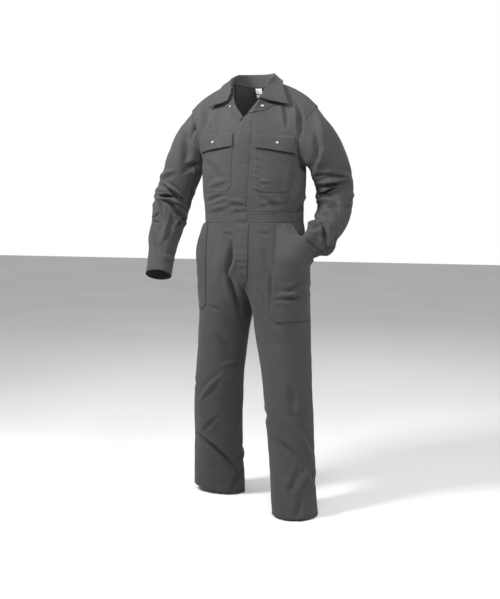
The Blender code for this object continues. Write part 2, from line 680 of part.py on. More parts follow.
def add_chest_pockets(skin, collection):
    """Patch pockets with cut-off lower corners, and the flaps that hang over their mouths."""
    for pocket in CHEST_POCKETS:
        low, high = sorted((pocket.inner, pocket.outer))
        corner = pocket.foot + CHAMFER
        mesh = front_facets(skin, "front_" + pocket.side)
        trim(mesh, [(low, pocket.mouth), (low, corner), (low + CHAMFER, pocket.foot),
                    (high - CHAMFER, pocket.foot), (high, corner), (high, pocket.mouth)])
        name = "chest_pocket_" + pocket.side
        wall(name, mesh, GAP, TRIM, cloth(name), collection)
    for flap in FLAPS:
        outline = [(flap.inner, flap.inner_top), (flap.inner, flap.inner_foot),
                   (flap.outer, flap.outer_foot), (flap.outer, flap.outer_top)]
        if flap.side == "right":
            outline.reverse()
        mesh = front_facets(skin, "front_" + flap.side)
        trim(mesh, outline)

        def lift(vertex, flap=flap):
            along = (vertex.co.x - flap.inner) / (flap.outer - flap.inner)
            top = flap.inner_top + along * (flap.outer_top - flap.inner_top)
            return 3 * GAP + TRIM + FLAP_FLARE * ease((top - vertex.co.z) / FLAP_DEPTH)
        name = "chest_flap_" + flap.side
        wall(name, mesh, lift, TRIM, cloth(name, GREY_TRIM), collection)


def pocket_heights(mesh, gape, mouth, across, cuff):
    """Height of each corner off the leg: sewn edges lie down, the rest clears the cuff inside.

    mouth holds the ends of the open edge, and across is the direction out of the pocket there.
    """
    out = mesh.verts.layers.float_vector["out"]
    least, sewn = {}, set()
    for vertex in mesh.verts:
        to_mouth = abs((vertex.co - mouth[0]).dot(across))
        from_ends = min(mouth[0].z - vertex.co.z, vertex.co.z - mouth[1].z)
        open_here = ease(1.0 - to_mouth / GAPE_WIDTH) * ease(from_ends / GAPE_END)
        least[vertex] = GAP + gape * open_here
        if cuff:
            start = vertex.co + vertex[out] * CUFF_REACH
            touch = cuff.ray_cast(start, -vertex[out], CUFF_REACH)[0]
            if touch:
                least[vertex] = (touch - vertex.co).length + CUFF_CLEARANCE
        if vertex.is_boundary and (to_mouth > 2 * SNAP or from_ends < 4 * SNAP):
            sewn.add(vertex)
    spread = {v: max(least[e.other_vert(v)] for e in v.link_edges) for v in mesh.verts}
    least = {v: GAP if v in sewn else max(least[v], 0.9 * spread[v]) for v in mesh.verts}
    heights = dict(least)
    for _ in range(EVENING):
        for vertex in mesh.verts:
            if vertex not in sewn:
                around = [heights[edge.other_vert(vertex)] for edge in vertex.link_edges]
                heights[vertex] = max(least[vertex], sum(around) / len(around))
    return heights


def add_hip_pockets(skin, collection):
    """Patch pockets whose slanted mouths run from the waistband to the side seams."""
    sleeve = BVHTree.FromBMesh(skin.piece("sleeve_upper_left", "sleeve_under_left"))
    for pocket in HIP_POCKETS:
        sign = 1 if pocket.side == "left" else -1
        mouth = Vector(pocket.mouth_top), Vector(pocket.mouth_foot)
        corner = (pocket.inner_foot + sign * CHAMFER, 0.0, pocket.foot)
        slope = (pocket.inner_top - pocket.inner_foot) / (POCKET_TOP - pocket.foot)
        inward = Vector((0.2 * sign, 0.98, 0.0))
        mesh = skin.piece("leg_front_" + pocket.side)
        keep_inside(mesh, (0.0, 0.0, POCKET_TOP), (0.0, 0.0, 1.0))
        keep_inside(mesh, (0.0, 0.0, pocket.foot), (0.0, 0.0, -1.0))
        keep_inside(mesh, (pocket.inner_foot, 0.0, pocket.foot), (-sign, 0.0, sign * slope))
        keep_inside(mesh, corner, (-sign, 0.0, -1.0))
        across = ((mouth[0] - mouth[1]).cross(inward) * -sign).normalized()
        keep_inside(mesh, mouth[0], across)
        cuff = sleeve if pocket.side == "left" else None
        if cuff:
            refine(mesh, 2)
        heights = pocket_heights(mesh, pocket.gape, mouth, across, cuff)
        name = "hip_pocket_" + pocket.side
        wall(name, mesh, heights.get, TRIM, cloth(name), collection)


def add_stud(name, on, place, collection):
    """A press stud that stands on the outer face of a piece, seen from in front at (x, z)."""
    tree = BVHTree.FromObject(on, bpy.context.evaluated_depsgraph_get())
    touch, normal, _, _ = tree.ray_cast(Vector((place[0], -1.0, place[1])), Vector((0, 1, 0)))
    mesh = bmesh.new()
    bmesh.ops.create_cone(mesh, cap_ends=True, segments=STUD_SIDES, radius1=STUD_RADIUS,
                          radius2=STUD_RADIUS * 0.8, depth=STUD_HEIGHT)
    stud = add_object(name, mesh, material(name, STEEL, 0.3, 1.0), collection)
    stud.location = touch + normal * (STUD_CLEAR + STUD_HEIGHT / 2)
    stud.rotation_euler = normal.to_track_quat("Z", "Y").to_euler()


def add_studs(collection):
    """Studs on the turned-out lapels and on the pocket flaps."""
    for side, place in LAPEL_STUDS:
        add_stud("stud_lapel_" + side, bpy.data.objects["lapel_" + side], place, collection)
    for flap in FLAPS:
        add_stud("stud_flap_" + flap.side, bpy.data.objects["chest_flap_" + flap.side],
                 flap.stud, collection)


def add_labels(skin, collection):
    """Two blank labels on the inside of the back, under the neck seam."""
    for name, top, foot in LABELS:
        mesh = skin.piece("back")
        keep_inside(mesh, (0.0, 0.0, top), (0.0, 0.0, 1.0))
        keep_inside(mesh, (0.0, 0.0, foot), (0.0, 0.0, -1.0))
        for sign in (1, -1):
            edge = LABEL_CENTRE + sign * LABEL_WIDTH / 2
            keep_inside(mesh, (edge, 0.0, 0.0), (sign, 0.0, 0.0))
        wall(name, mesh, -CLOTH - GAP - TRIM, TRIM, material(name, WHITE, 0.7), collection)


def main():
    for old in list(bpy.data.objects):
        bpy.data.objects.remove(old, do_unlink=True)
    collection = bpy.data.collections.new("boiler_suit")
    bpy.context.scene.collection.children.link(collection)
    skin = build_skin()
    add_panels(skin, collection)
    add_front_strips(skin, collection)
    add_lapels(skin, collection)
    add_collar(collection)
    add_chest_pockets(skin, collection)
    add_hip_pockets(skin, collection)
    add_studs(collection)
    add_labels(skin, collection)


main()
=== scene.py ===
# %% [markdown]
# # A boiler suit, worn by nobody
# The frame gives every cut piece as a thin rigid wall with large flat facets. This lesson turns
# each one into cloth: a smooth thin sheet with creases, closed seams, real stitches and a twill
# weave. The same few steps serve every piece, so they are written once, as short functions.

import math
from collections import namedtuple

import bmesh
import bpy
import numpy as np
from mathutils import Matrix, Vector
from mathutils.bvhtree import BVHTree
from mathutils.kdtree import KDTree


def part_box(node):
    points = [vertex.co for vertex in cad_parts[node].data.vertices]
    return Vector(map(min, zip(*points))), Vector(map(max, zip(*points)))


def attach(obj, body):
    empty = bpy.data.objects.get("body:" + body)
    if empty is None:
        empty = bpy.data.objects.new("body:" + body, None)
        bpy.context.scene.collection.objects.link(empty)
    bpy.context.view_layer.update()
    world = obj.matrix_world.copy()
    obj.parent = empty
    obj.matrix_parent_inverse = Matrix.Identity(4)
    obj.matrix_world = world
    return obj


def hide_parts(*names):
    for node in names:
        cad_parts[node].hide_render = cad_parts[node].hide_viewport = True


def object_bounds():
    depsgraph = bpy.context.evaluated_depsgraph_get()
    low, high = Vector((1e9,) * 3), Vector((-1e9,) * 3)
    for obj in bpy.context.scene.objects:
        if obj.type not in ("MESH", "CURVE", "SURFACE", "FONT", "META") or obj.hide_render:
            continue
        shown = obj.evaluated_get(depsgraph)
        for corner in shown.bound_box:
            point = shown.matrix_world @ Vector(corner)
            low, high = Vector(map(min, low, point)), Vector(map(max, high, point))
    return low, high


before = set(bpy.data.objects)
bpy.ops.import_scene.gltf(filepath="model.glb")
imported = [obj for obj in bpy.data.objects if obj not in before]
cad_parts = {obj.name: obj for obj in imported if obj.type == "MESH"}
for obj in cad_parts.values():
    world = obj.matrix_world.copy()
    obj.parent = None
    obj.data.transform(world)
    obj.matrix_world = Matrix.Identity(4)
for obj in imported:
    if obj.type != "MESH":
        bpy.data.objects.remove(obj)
cad_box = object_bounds()
print("frame nodes:", len(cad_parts))

# %% [markdown]
# ## From a wall to a sheet
# A wall has an outer face, an inner face and a narrow rim between them. Cloth is easier to shape
# as one open sheet that gets its thickness back at the end. Only the rim's facets have a side
# that is as short as the wall is thick, so they are easy to find, and without them the mesh falls
# into two loose faces. On a tube the outer one is the larger. On a piece that lies on the front
# it is the one that looks forwards.

# %% Take the outer face of a node's wall
MERGE = 1e-5            # corners this close are one corner
PANEL_WALL = 0.0012     # thickness of a cut panel
TRIM_WALL = 0.0010      # of a piece that is sewn on top
COLLAR_WALL = 0.0018    # and of the doubled collar
SHORTEST, LONGEST = 0.75, 1.01      # a rim's short sides, as parts of the wall's thickness
BENT, SKEWED = math.radians(60), math.radians(70)   # triangles up to this far off become a quad


def islands(mesh, wall):
    """The two faces of a wall, as groups of facets, the larger one first."""
    def across(edge):
        return SHORTEST * wall < edge.calc_length() < LONGEST * wall
    on_rim = {facet for edge in mesh.edges if across(edge) for facet in edge.link_faces}
    found, seen = [], set(on_rim)
    for first in mesh.faces:
        if first in seen:
            continue
        seen.add(first)
        group, stack = [], [first]
        while stack:
            facet = stack.pop()
            group.append(facet)
            for edge in facet.edges:
                for other in edge.link_faces:
                    if other not in seen:
                        seen.add(other)
                        stack.append(other)
        found.append(group)
    found.sort(key=lambda group: -sum(facet.calc_area() for facet in group))
    return found[:2]


def outer_sheet(node, wall, by_area):
    """The outer face of a node's wall as an open mesh of four-sided facets."""
    mesh = bmesh.new()
    mesh.from_mesh(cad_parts[node].data)
    bmesh.ops.remove_doubles(mesh, verts=mesh.verts[:], dist=MERGE)
    faces = islands(mesh, wall)
    if not by_area:
        faces.sort(key=lambda group: sum(f.normal.y * f.calc_area() for f in group))
    keep = set(faces[0])
    spare = [facet for facet in mesh.faces if facet not in keep]
    bmesh.ops.delete(mesh, geom=spare, context="FACES")
    bmesh.ops.join_triangles(mesh, faces=mesh.faces[:], angle_face_threshold=BENT,
                             angle_shape_threshold=SKEWED)
    return mesh


print("walls (mm):", [round(wall * 1000, 1) for wall in (PANEL_WALL, TRIM_WALL, COLLAR_WALL)])


# %% [markdown]
# ## A pattern piece and a smooth sheet
# A weave has to follow the cloth, so each sheet first gets a flat pattern: Blender unwraps it, and
# the pattern is scaled to metres and turned so that its second axis runs up the garment, as the
# grain line does on a paper pattern. Then a Subdivision Surface rounds the facets off. Its edges
# keep their corners, so neighbouring pieces still have the same outline along their seam.

# %% Unwrap, subdivide and read back as a bmesh
FINE = 0.0062           # after rounding, edges longer than this are cut once more


def pattern(obj):
    """Unwraps a sheet to a flat pattern in metres with the grain upwards."""
    bpy.context.view_layer.objects.active = obj
    obj.select_set(True)
    bpy.ops.object.mode_set(mode="EDIT")
    bpy.ops.mesh.select_all(action="SELECT")
    bpy.ops.uv.unwrap(method="ANGLE_BASED", margin=0.0)
    bpy.ops.object.mode_set(mode="OBJECT")
    obj.select_set(False)
    data = obj.data
    layer = data.uv_layers.active.data
    uv = np.array([loop.uv for loop in layer])
    at = np.array([data.vertices[loop.vertex_index].co for loop in data.loops])
    flat = solid = 0.0
    for face in data.polygons:
        ring = uv[list(face.loop_indices)]
        x, y = ring[:, 0], ring[:, 1]
        flat += abs(np.dot(x, np.roll(y, 1)) - np.dot(y, np.roll(x, 1))) / 2
        solid += face.area
    uv = (uv - uv.mean(axis=0)) * math.sqrt(solid / flat)
    slope = np.linalg.lstsq(uv, at[:, 2] - at[:, 2].mean(), rcond=None)[0]
    up = slope / np.linalg.norm(slope)
    turned = np.stack([uv @ np.array([up[1], -up[0]]), uv @ up], axis=1)
    for loop, place in zip(layer, turned):
        loop.uv = place
    size = turned.max(axis=0) - turned.min(axis=0)
    return size, solid


def smooth_sheet(node, mesh, levels):
    """A coarse open mesh as a smooth fine one, with its pattern."""
    data = bpy.data.meshes.new("sheet")
    mesh.to_mesh(data)
    mesh.free()
    obj = bpy.data.objects.new("sheet", data)
    bpy.context.scene.collection.objects.link(obj)
    data.uv_layers.new(name="pattern")
    size, area = pattern(obj)
    rounding = obj.modifiers.new("Subdivision", "SUBSURF")
    rounding.levels = rounding.render_levels = levels
    rounding.boundary_smooth = "PRESERVE_CORNERS"
    bpy.context.view_layer.update()
    evaluated = obj.evaluated_get(bpy.context.evaluated_depsgraph_get())
    fine = bmesh.new()
    fine.from_mesh(evaluated.to_mesh())
    evaluated.to_mesh_clear()
    bpy.data.objects.remove(obj, do_unlink=True)
    long_edges = [edge for edge in fine.edges if edge.calc_length() > FINE]
    bmesh.ops.subdivide_edges(fine, edges=long_edges, cuts=1, use_grid_fill=True)
    print(f"{node}: cut {size[0]:.2f} x {size[1]:.2f} m, {area:.3f} m2, {len(fine.faces)} facets")
    return fine


# %% [markdown]
# ## The cut panels
# A maker cuts fourteen panels for this suit: a back, two fronts, a waistband in three parts, four
# pieces for the legs and four for the sleeves. They all go through the two steps above, and the
# pieces that are sewn on top of them come later.

# %% Read every panel
PANELS = ["back", "front_left", "front_right",
          "waistband_left", "waistband_right", "waistband_back",
          "leg_front_left", "leg_back_left", "leg_front_right", "leg_back_right",
          "sleeve_upper_left", "sleeve_under_left", "sleeve_upper_right", "sleeve_under_right"]
PANEL_LEVELS = 3
sheets = {}
for node in PANELS:
    sheets[node] = smooth_sheet(node, outer_sheet(node, PANEL_WALL, True), PANEL_LEVELS)

# %% [markdown]
# ## Finer facets where the cloth is busy
# The elastic in the waistband gathers the cloth into folds only a centimetre or so apart, and at
# the elbows the sleeves are pushed into sharp folds. Large facets would turn those folds into
# corners. One more level of subdivision everywhere would be four times as heavy, so only the
# long edges in these two places are cut once more.

# %% Cut the long edges at the waist and the elbows
band_foot, band_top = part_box("waistband_back")
BAND_FOOT_Z, BAND_TOP_Z = band_foot[2], band_top[2]
GATHER_FADE = 0.040     # the gathers end this far above and below the waistband
BUSY_CELL = 0.0038      # edges longer than this are cut there
SLEEVE_X = 0.205        # the sleeves lie outside this distance from the middle
SLEEVE_FOLDS = (-0.60, -0.28)       # and their sharp folds lie between these heights


def refine_busy(mesh):
    """Cuts the facets finer where the cloth is gathered or sharply folded."""
    def near(vertex):
        x, z = abs(vertex.co.x), vertex.co.z
        at_band = BAND_FOOT_Z - GATHER_FADE < z < BAND_TOP_Z + GATHER_FADE and x < SLEEVE_X
        return at_band or SLEEVE_FOLDS[0] < z < SLEEVE_FOLDS[1] and x > SLEEVE_X
    long_edges = [edge for edge in mesh.edges
                  if edge.calc_length() > BUSY_CELL and all(near(v) for v in edge.verts)]
    bmesh.ops.subdivide_edges(mesh, edges=long_edges, cuts=1, use_grid_fill=True)


for mesh in sheets.values():
    refine_busy(mesh)
print("facets of all panels:", sum(len(mesh.faces) for mesh in sheets.values()))

# %% [markdown]
# ## Closed seams
# The panels of the frame stop just short of each other. Sewn cloth meets, so every edge point
# that has a neighbour close by moves halfway to it. Both sides also share one direction outwards
# there, so that a crease crosses the seam without a step.

# %% Zip the seams and store each point's direction outwards
REACH = 0.0055          # a neighbouring panel's edge is at most this far
SAMPLES = 6             # points along each edge that a search tree is filled with


def zip_seams(meshes):
    """Moves the panels' edges together and returns each vertex's shared direction."""
    places, owners, normals = [], [], []
    for name, mesh in meshes.items():
        mesh.normal_update()
        for edge in mesh.edges:
            if edge.is_boundary:
                a, b = edge.verts
                for i in range(SAMPLES):
                    places.append(a.co.lerp(b.co, i / SAMPLES))
                    normals.append(a.normal.lerp(b.normal, i / SAMPLES))
                    owners.append(name)
    tree = KDTree(len(places))
    for i, place in enumerate(places):
        tree.insert(place, i)
    tree.balance()
    moves = {}
    directions = {}
    for name, mesh in meshes.items():
        for vertex in mesh.verts:
            directions[vertex] = vertex.normal.copy()
            if not vertex.is_boundary:
                continue
            near = [hit for hit in tree.find_range(vertex.co, REACH) if owners[hit[1]] != name]
            if near:
                place, index, _ = min(near, key=lambda hit: hit[2])
                moves[vertex] = (vertex.co + place) / 2
                directions[vertex] = (vertex.normal + normals[index]).normalized()
    for vertex, place in moves.items():
        vertex.co = place
    return directions


outward = zip_seams(sheets)
print("points moved together at the seams:", sum(v.is_boundary for v in outward))

# %% [markdown]
# ## Creases
# Cloth gathers where a limb bends and hangs in soft folds elsewhere. Each crease here is one row:
# the side it is seen from (degrees round the garment), where it starts and ends in that view
# (metres sideways and up), how wide and how high it is, and how far it bows to the side. A raised
# crease has a trough next to it and a sunk one a ridge, as folded cloth has. A cloth simulation
# would fold the suit in its own way, and a table puts every fold where it is wanted.

# %% The table of creases
Crease = namedtuple("Crease", "turn start end width height bow")
FRONT, LEFT, BACK, RIGHT = 20, 90, 180, 270     # the front from a little to its left
CREASES = [
    # chest, from the collar points and the armholes down
    Crease(FRONT, (-0.172, -0.085), (-0.178, -0.165), 0.0110, -0.0099, 0.004),
    Crease(FRONT, (-0.140, -0.100), (-0.138, -0.170), 0.0119, 0.0054, 0.000),
    Crease(FRONT, (-0.205, -0.130), (-0.222, -0.200), 0.0075, -0.0090, 0.000),
    Crease(FRONT, (0.100, -0.080), (0.112, -0.165), 0.0085, -0.0081, 0.003),
    Crease(FRONT, (0.132, -0.075), (0.140, -0.165), 0.0093, 0.0081, 0.003),
    Crease(FRONT, (0.156, -0.105), (0.158, -0.205), 0.0085, -0.0081, 0.000),
    Crease(FRONT, (-0.176, -0.275), (-0.120, -0.345), 0.0119, -0.0072, 0.006),
    Crease(FRONT, (-0.160, -0.365), (-0.095, -0.345), 0.0102, 0.0054, 0.003),
    Crease(FRONT, (-0.165, -0.420), (-0.100, -0.398), 0.0076, -0.0054, 0.003),
    Crease(FRONT, (-0.150, -0.445), (-0.075, -0.425), 0.0085, 0.0045, 0.000),
    Crease(FRONT, (0.008, -0.325), (0.032, -0.372), 0.0059, -0.0040, 0.002),
    Crease(FRONT, (0.012, -0.350), (0.055, -0.352), 0.0059, 0.0036, 0.002),
    Crease(FRONT, (0.016, -0.395), (0.045, -0.430), 0.0068, -0.0045, 0.000),
    Crease(FRONT, (0.035, -0.405), (0.082, -0.455), 0.0102, -0.0040, 0.003),
    Crease(FRONT, (0.085, -0.405), (0.105, -0.452), 0.0085, 0.0045, 0.000),
    Crease(FRONT, (0.140, -0.300), (0.128, -0.410), 0.0136, -0.0081, 0.004),
    # right sleeve: armpit, elbow and forearm
    Crease(FRONT, (-0.245, -0.150), (-0.248, -0.310), 0.0140, -0.0120, 0.005),
    Crease(FRONT, (-0.242, -0.175), (-0.199, -0.232), 0.0080, -0.0070, 0.002),
    Crease(FRONT, (-0.250, -0.308), (-0.196, -0.282), 0.0110, -0.0130, 0.004),
    Crease(FRONT, (-0.224, -0.335), (-0.211, -0.280), 0.0050, 0.0060, 0.000),
    Crease(FRONT, (-0.350, -0.332), (-0.287, -0.308), 0.0100, 0.0075, 0.003),
    Crease(FRONT, (-0.322, -0.360), (-0.258, -0.426), 0.0055, -0.0130, 0.003),
    Crease(FRONT, (-0.334, -0.348), (-0.250, -0.410), 0.0060, 0.0110, 0.004),
    Crease(FRONT, (-0.352, -0.372), (-0.305, -0.386), 0.0090, 0.0080, 0.003),
    Crease(FRONT, (-0.358, -0.394), (-0.290, -0.400), 0.0052, -0.0125, -0.003),
    Crease(FRONT, (-0.346, -0.406), (-0.250, -0.438), 0.0065, 0.0115, 0.008),
    Crease(FRONT, (-0.349, -0.412), (-0.328, -0.462), 0.0070, -0.0120, 0.002),
    Crease(FRONT, (-0.308, -0.422), (-0.254, -0.486), 0.0075, -0.0150, 0.002),
    Crease(FRONT, (-0.334, -0.440), (-0.292, -0.500), 0.0085, 0.0070, 0.002),
    Crease(FRONT, (-0.370, -0.480), (-0.340, -0.458), 0.0050, -0.0060, 0.000),
    Crease(FRONT, (-0.368, -0.490), (-0.340, -0.494), 0.0050, -0.0050, 0.000),
    Crease(FRONT, (-0.366, -0.508), (-0.343, -0.592), 0.0090, -0.0105, -0.006),
    Crease(FRONT, (-0.319, -0.500), (-0.332, -0.560), 0.0110, 0.0070, 0.003),
    Crease(FRONT, (-0.292, -0.458), (-0.308, -0.542), 0.0090, -0.0060, 0.003),
    Crease(FRONT, (-0.280, -0.510), (-0.252, -0.480), 0.0058, -0.0130, 0.000),
    Crease(FRONT, (-0.226, -0.375), (-0.244, -0.442), 0.0060, -0.0085, 0.002),
    Crease(FRONT, (-0.330, -0.612), (-0.290, -0.628), 0.0090, 0.0040, 0.003),
    # left sleeve: bend at the elbow, hump and deep fold at the pocket
    Crease(FRONT, (0.214, -0.105), (0.238, -0.245), 0.0150, 0.0085, 0.003),
    Crease(FRONT, (0.238, -0.240), (0.206, -0.328), 0.0130, 0.0065, 0.003),
    Crease(FRONT, (0.208, -0.190), (0.212, -0.285), 0.0090, -0.0080, 0.002),
    Crease(FRONT, (0.205, -0.330), (0.322, -0.340), 0.0080, -0.0055, 0.003),
    Crease(FRONT, (0.217, -0.356), (0.325, -0.344), 0.0060, 0.0095, 0.003),
    Crease(FRONT, (0.222, -0.370), (0.290, -0.361), 0.0052, -0.0125, 0.001),
    Crease(FRONT, (0.226, -0.383), (0.262, -0.376), 0.0050, 0.0070, 0.001),
    Crease(FRONT, (0.230, -0.396), (0.284, -0.372), 0.0055, -0.0120, 0.003),
    Crease(FRONT, (0.218, -0.424), (0.290, -0.432), 0.0075, 0.0110, 0.012),
    Crease(FRONT, (0.246, -0.436), (0.286, -0.452), 0.0060, -0.0095, 0.004),
    Crease(FRONT, (0.290, -0.410), (0.302, -0.470), 0.0090, 0.0060, 0.003),
    Crease(FRONT, (0.220, -0.462), (0.262, -0.478), 0.0080, -0.0060, 0.004),
    Crease(FRONT, (0.186, -0.508), (0.226, -0.490), 0.0085, 0.0130, 0.006),
    Crease(FRONT, (0.232, -0.494), (0.238, -0.578), 0.0065, -0.0160, 0.006),
    Crease(FRONT, (0.255, -0.500), (0.256, -0.570), 0.0090, 0.0070, 0.004),
    Crease(FRONT, (0.282, -0.535), (0.230, -0.590), 0.0050, -0.0060, 0.000),
    Crease(FRONT, (0.180, -0.555), (0.212, -0.584), 0.0060, -0.0050, 0.002),
    Crease(FRONT, (0.178, -0.524), (0.205, -0.536), 0.0050, -0.0045, 0.002),
    Crease(FRONT, (0.272, -0.538), (0.228, -0.608), 0.0270, 0.0210, 0.004),
    # hips and the right thigh
    Crease(FRONT, (-0.080, -0.560), (-0.096, -0.668), 0.0101, -0.0147, 0.006),
    Crease(FRONT, (-0.096, -0.664), (-0.052, -0.825), 0.0101, -0.0161, 0.004),
    Crease(FRONT, (-0.118, -0.530), (-0.132, -0.690), 0.0159, 0.0061, 0.006),
    Crease(FRONT, (-0.165, -0.786), (-0.120, -0.802), 0.0072, -0.0041, 0.002),
    Crease(FRONT, (-0.130, -0.895), (-0.088, -0.980), 0.0130, -0.0080, 0.006),
    Crease(FRONT, (-0.112, -0.998), (-0.048, -0.988), 0.0072, 0.0073, 0.004),
    Crease(FRONT, (-0.196, -1.134), (-0.115, -1.036), 0.0087, 0.0068, 0.006),
    Crease(FRONT, (-0.092, -1.060), (-0.086, -1.220), 0.0217, -0.0068, 0.004),
    Crease(FRONT, (-0.187, -1.257), (-0.127, -1.190), 0.0079, -0.0068, 0.004),
    Crease(FRONT, (-0.118, -1.250), (-0.060, -1.268), 0.0072, 0.0047, 0.003),
    Crease(FRONT, (-0.208, -1.268), (-0.066, -1.402), 0.0093, -0.0127, 0.010),
    Crease(FRONT, (-0.082, -1.470), (-0.046, -1.408), 0.0087, -0.0080, 0.004),
    Crease(FRONT, (-0.196, -1.395), (-0.120, -1.455), 0.0116, 0.0041, 0.004),
    # left thigh, knee and shin
    Crease(FRONT, (0.012, -0.725), (0.048, -0.792), 0.0072, -0.0047, 0.004),
    Crease(FRONT, (0.030, -0.560), (0.046, -0.660), 0.0130, -0.0041, 0.004),
    Crease(FRONT, (0.056, -0.640), (0.054, -0.800), 0.0058, -0.0041, 0.002),
    Crease(FRONT, (0.060, -0.850), (0.115, -0.905), 0.0130, 0.0041, 0.006),
    Crease(FRONT, (0.124, -1.050), (0.134, -1.140), 0.0159, -0.0073, 0.004),
    Crease(FRONT, (0.108, -1.150), (0.196, -1.298), 0.0108, 0.0073, 0.008),
    Crease(FRONT, (0.062, -1.232), (0.164, -1.314), 0.0108, -0.0068, 0.008),
    Crease(FRONT, (0.180, -1.330), (0.135, -1.420), 0.0072, 0.0073, 0.004),
    Crease(FRONT, (0.150, -1.325), (0.118, -1.405), 0.0093, -0.0073, 0.004),
    Crease(FRONT, (0.190, -1.335), (0.216, -1.405), 0.0072, -0.0068, 0.002),
    Crease(FRONT, (0.158, -1.430), (0.140, -1.492), 0.0123, -0.0080, 0.003),
    # back: shoulder blades, small of the back, seat
    Crease(BACK, (-0.150, -0.170), (-0.105, -0.300), 0.0153, -0.0081, 0.006),
    Crease(BACK, (0.150, -0.180), (0.112, -0.315), 0.0153, -0.0090, 0.006),
    Crease(BACK, (-0.060, -0.110), (-0.035, -0.230), 0.0187, 0.0054, 0.004),
    Crease(BACK, (-0.130, -0.402), (0.020, -0.424), 0.0102, -0.0081, 0.005),
    Crease(BACK, (0.000, -0.382), (0.140, -0.398), 0.0110, 0.0081, 0.005),
    Crease(BACK, (-0.150, -0.345), (-0.040, -0.372), 0.0119, 0.0063, 0.006),
    Crease(BACK, (0.035, -0.432), (0.120, -0.436), 0.0076, -0.0063, 0.002),
    Crease(BACK, (-0.020, -0.610), (-0.140, -0.655), 0.0170, -0.0040, 0.008),
    Crease(BACK, (0.025, -0.735), (0.150, -0.695), 0.0136, -0.0069, 0.008),
    Crease(BACK, (-0.020, -0.755), (-0.150, -0.715), 0.0136, -0.0059, 0.008),
    Crease(BACK, (0.040, -0.800), (0.150, -0.770), 0.0119, 0.0045, 0.006),
    # backs of the knees and calves
    Crease(BACK, (-0.200, -1.050), (-0.090, -1.085), 0.0119, -0.0069, 0.006),
    Crease(BACK, (-0.205, -1.100), (-0.100, -1.120), 0.0110, 0.0054, 0.005),
    Crease(BACK, (-0.190, -1.165), (-0.115, -1.135), 0.0102, -0.0050, 0.004),
    Crease(BACK, (-0.240, -1.300), (-0.120, -1.390), 0.0136, -0.0059, 0.008),
    Crease(BACK, (-0.150, -0.900), (-0.100, -1.010), 0.0170, 0.0040, 0.006),
    Crease(BACK, (0.070, -1.060), (0.190, -1.030), 0.0119, -0.0069, 0.006),
    Crease(BACK, (0.065, -1.110), (0.195, -1.095), 0.0110, 0.0054, 0.005),
    Crease(BACK, (0.095, -1.175), (0.180, -1.145), 0.0102, -0.0050, 0.004),
    Crease(BACK, (0.080, -1.300), (0.215, -1.400), 0.0136, -0.0064, 0.008),
    Crease(BACK, (0.110, -0.880), (0.165, -1.000), 0.0170, -0.0040, 0.006),
    # sleeves from behind and from the sides
    Crease(BACK, (0.210, -0.200), (0.238, -0.300), 0.0131, -0.0062, 0.004),
    Crease(BACK, (0.262, -0.388), (0.350, -0.400), 0.0101, -0.0067, 0.004),
    Crease(BACK, (0.266, -0.420), (0.345, -0.448), 0.0111, 0.0062, 0.005),
    Crease(BACK, (0.285, -0.520), (0.345, -0.560), 0.0121, -0.0050, 0.004),
    Crease(BACK, (-0.215, -0.205), (-0.240, -0.300), 0.0131, -0.0062, 0.004),
    Crease(BACK, (-0.225, -0.352), (-0.300, -0.372), 0.0101, -0.0067, 0.004),
    Crease(BACK, (-0.222, -0.410), (-0.290, -0.425), 0.0121, 0.0056, 0.004),
    Crease(LEFT, (-0.060, -0.300), (0.060, -0.330), 0.0142, -0.0056, 0.006),
    Crease(LEFT, (-0.020, -0.420), (0.080, -0.395), 0.0121, 0.0062, 0.006),
    Crease(LEFT, (-0.040, -0.455), (0.060, -0.440), 0.0111, -0.0056, 0.004),
    Crease(LEFT, (-0.130, -0.690), (0.060, -0.740), 0.0136, -0.0040, 0.008),
    Crease(LEFT, (-0.150, -1.150), (0.020, -1.240), 0.0153, -0.0054, 0.010),
    Crease(LEFT, (-0.190, -1.380), (-0.080, -1.330), 0.0127, 0.0045, 0.006),
    Crease(RIGHT, (-0.050, -0.240), (0.040, -0.290), 0.0142, -0.0056, 0.006),
    Crease(RIGHT, (-0.040, -0.395), (0.050, -0.375), 0.0111, 0.0062, 0.004),
    Crease(RIGHT, (-0.020, -0.432), (0.070, -0.410), 0.0111, -0.0062, 0.004),
    Crease(RIGHT, (-0.080, -0.720), (0.080, -0.700), 0.0136, -0.0040, 0.006),
    Crease(RIGHT, (-0.100, -1.130), (0.050, -1.080), 0.0153, -0.0054, 0.010),
    Crease(RIGHT, (-0.110, -1.330), (0.040, -1.410), 0.0136, 0.0050, 0.008),
    # hip pocket over the cuff inside it
    Crease(FRONT, (0.068, -0.757), (0.163, -0.751), 0.0075, -0.0080, 0.002),
    Crease(FRONT, (0.072, -0.742), (0.160, -0.736), 0.0080, 0.0045, 0.002),
    Crease(FRONT, (0.110, -0.733), (0.180, -0.697), 0.0080, -0.0065, 0.003),
    # short pulls beside the placket's stitching
    Crease(FRONT, (0.002, -0.205), (0.034, -0.222), 0.0055, 0.0032, 0.002),
    Crease(FRONT, (0.000, -0.238), (0.028, -0.258), 0.0050, -0.0034, 0.002),
    Crease(FRONT, (-0.002, -0.262), (0.036, -0.284), 0.0055, 0.0036, 0.003),
    Crease(FRONT, (-0.004, -0.300), (0.024, -0.312), 0.0050, -0.0032, 0.002),
    Crease(FRONT, (-0.008, -0.330), (0.030, -0.352), 0.0055, 0.0034, 0.003),
    Crease(FRONT, (-0.010, -0.372), (0.026, -0.384), 0.0060, 0.0030, 0.002),
    # the waist, blousing over the band
    Crease(FRONT, (-0.130, -0.430), (-0.030, -0.438), 0.0090, -0.0028, 0.003),
    Crease(FRONT, (0.010, -0.440), (0.120, -0.430), 0.0090, -0.0028, 0.003),
    Crease(FRONT, (-0.090, -0.416), (-0.030, -0.421), 0.0075, 0.0032, 0.002),
    # thighs, small level folds under the waistband
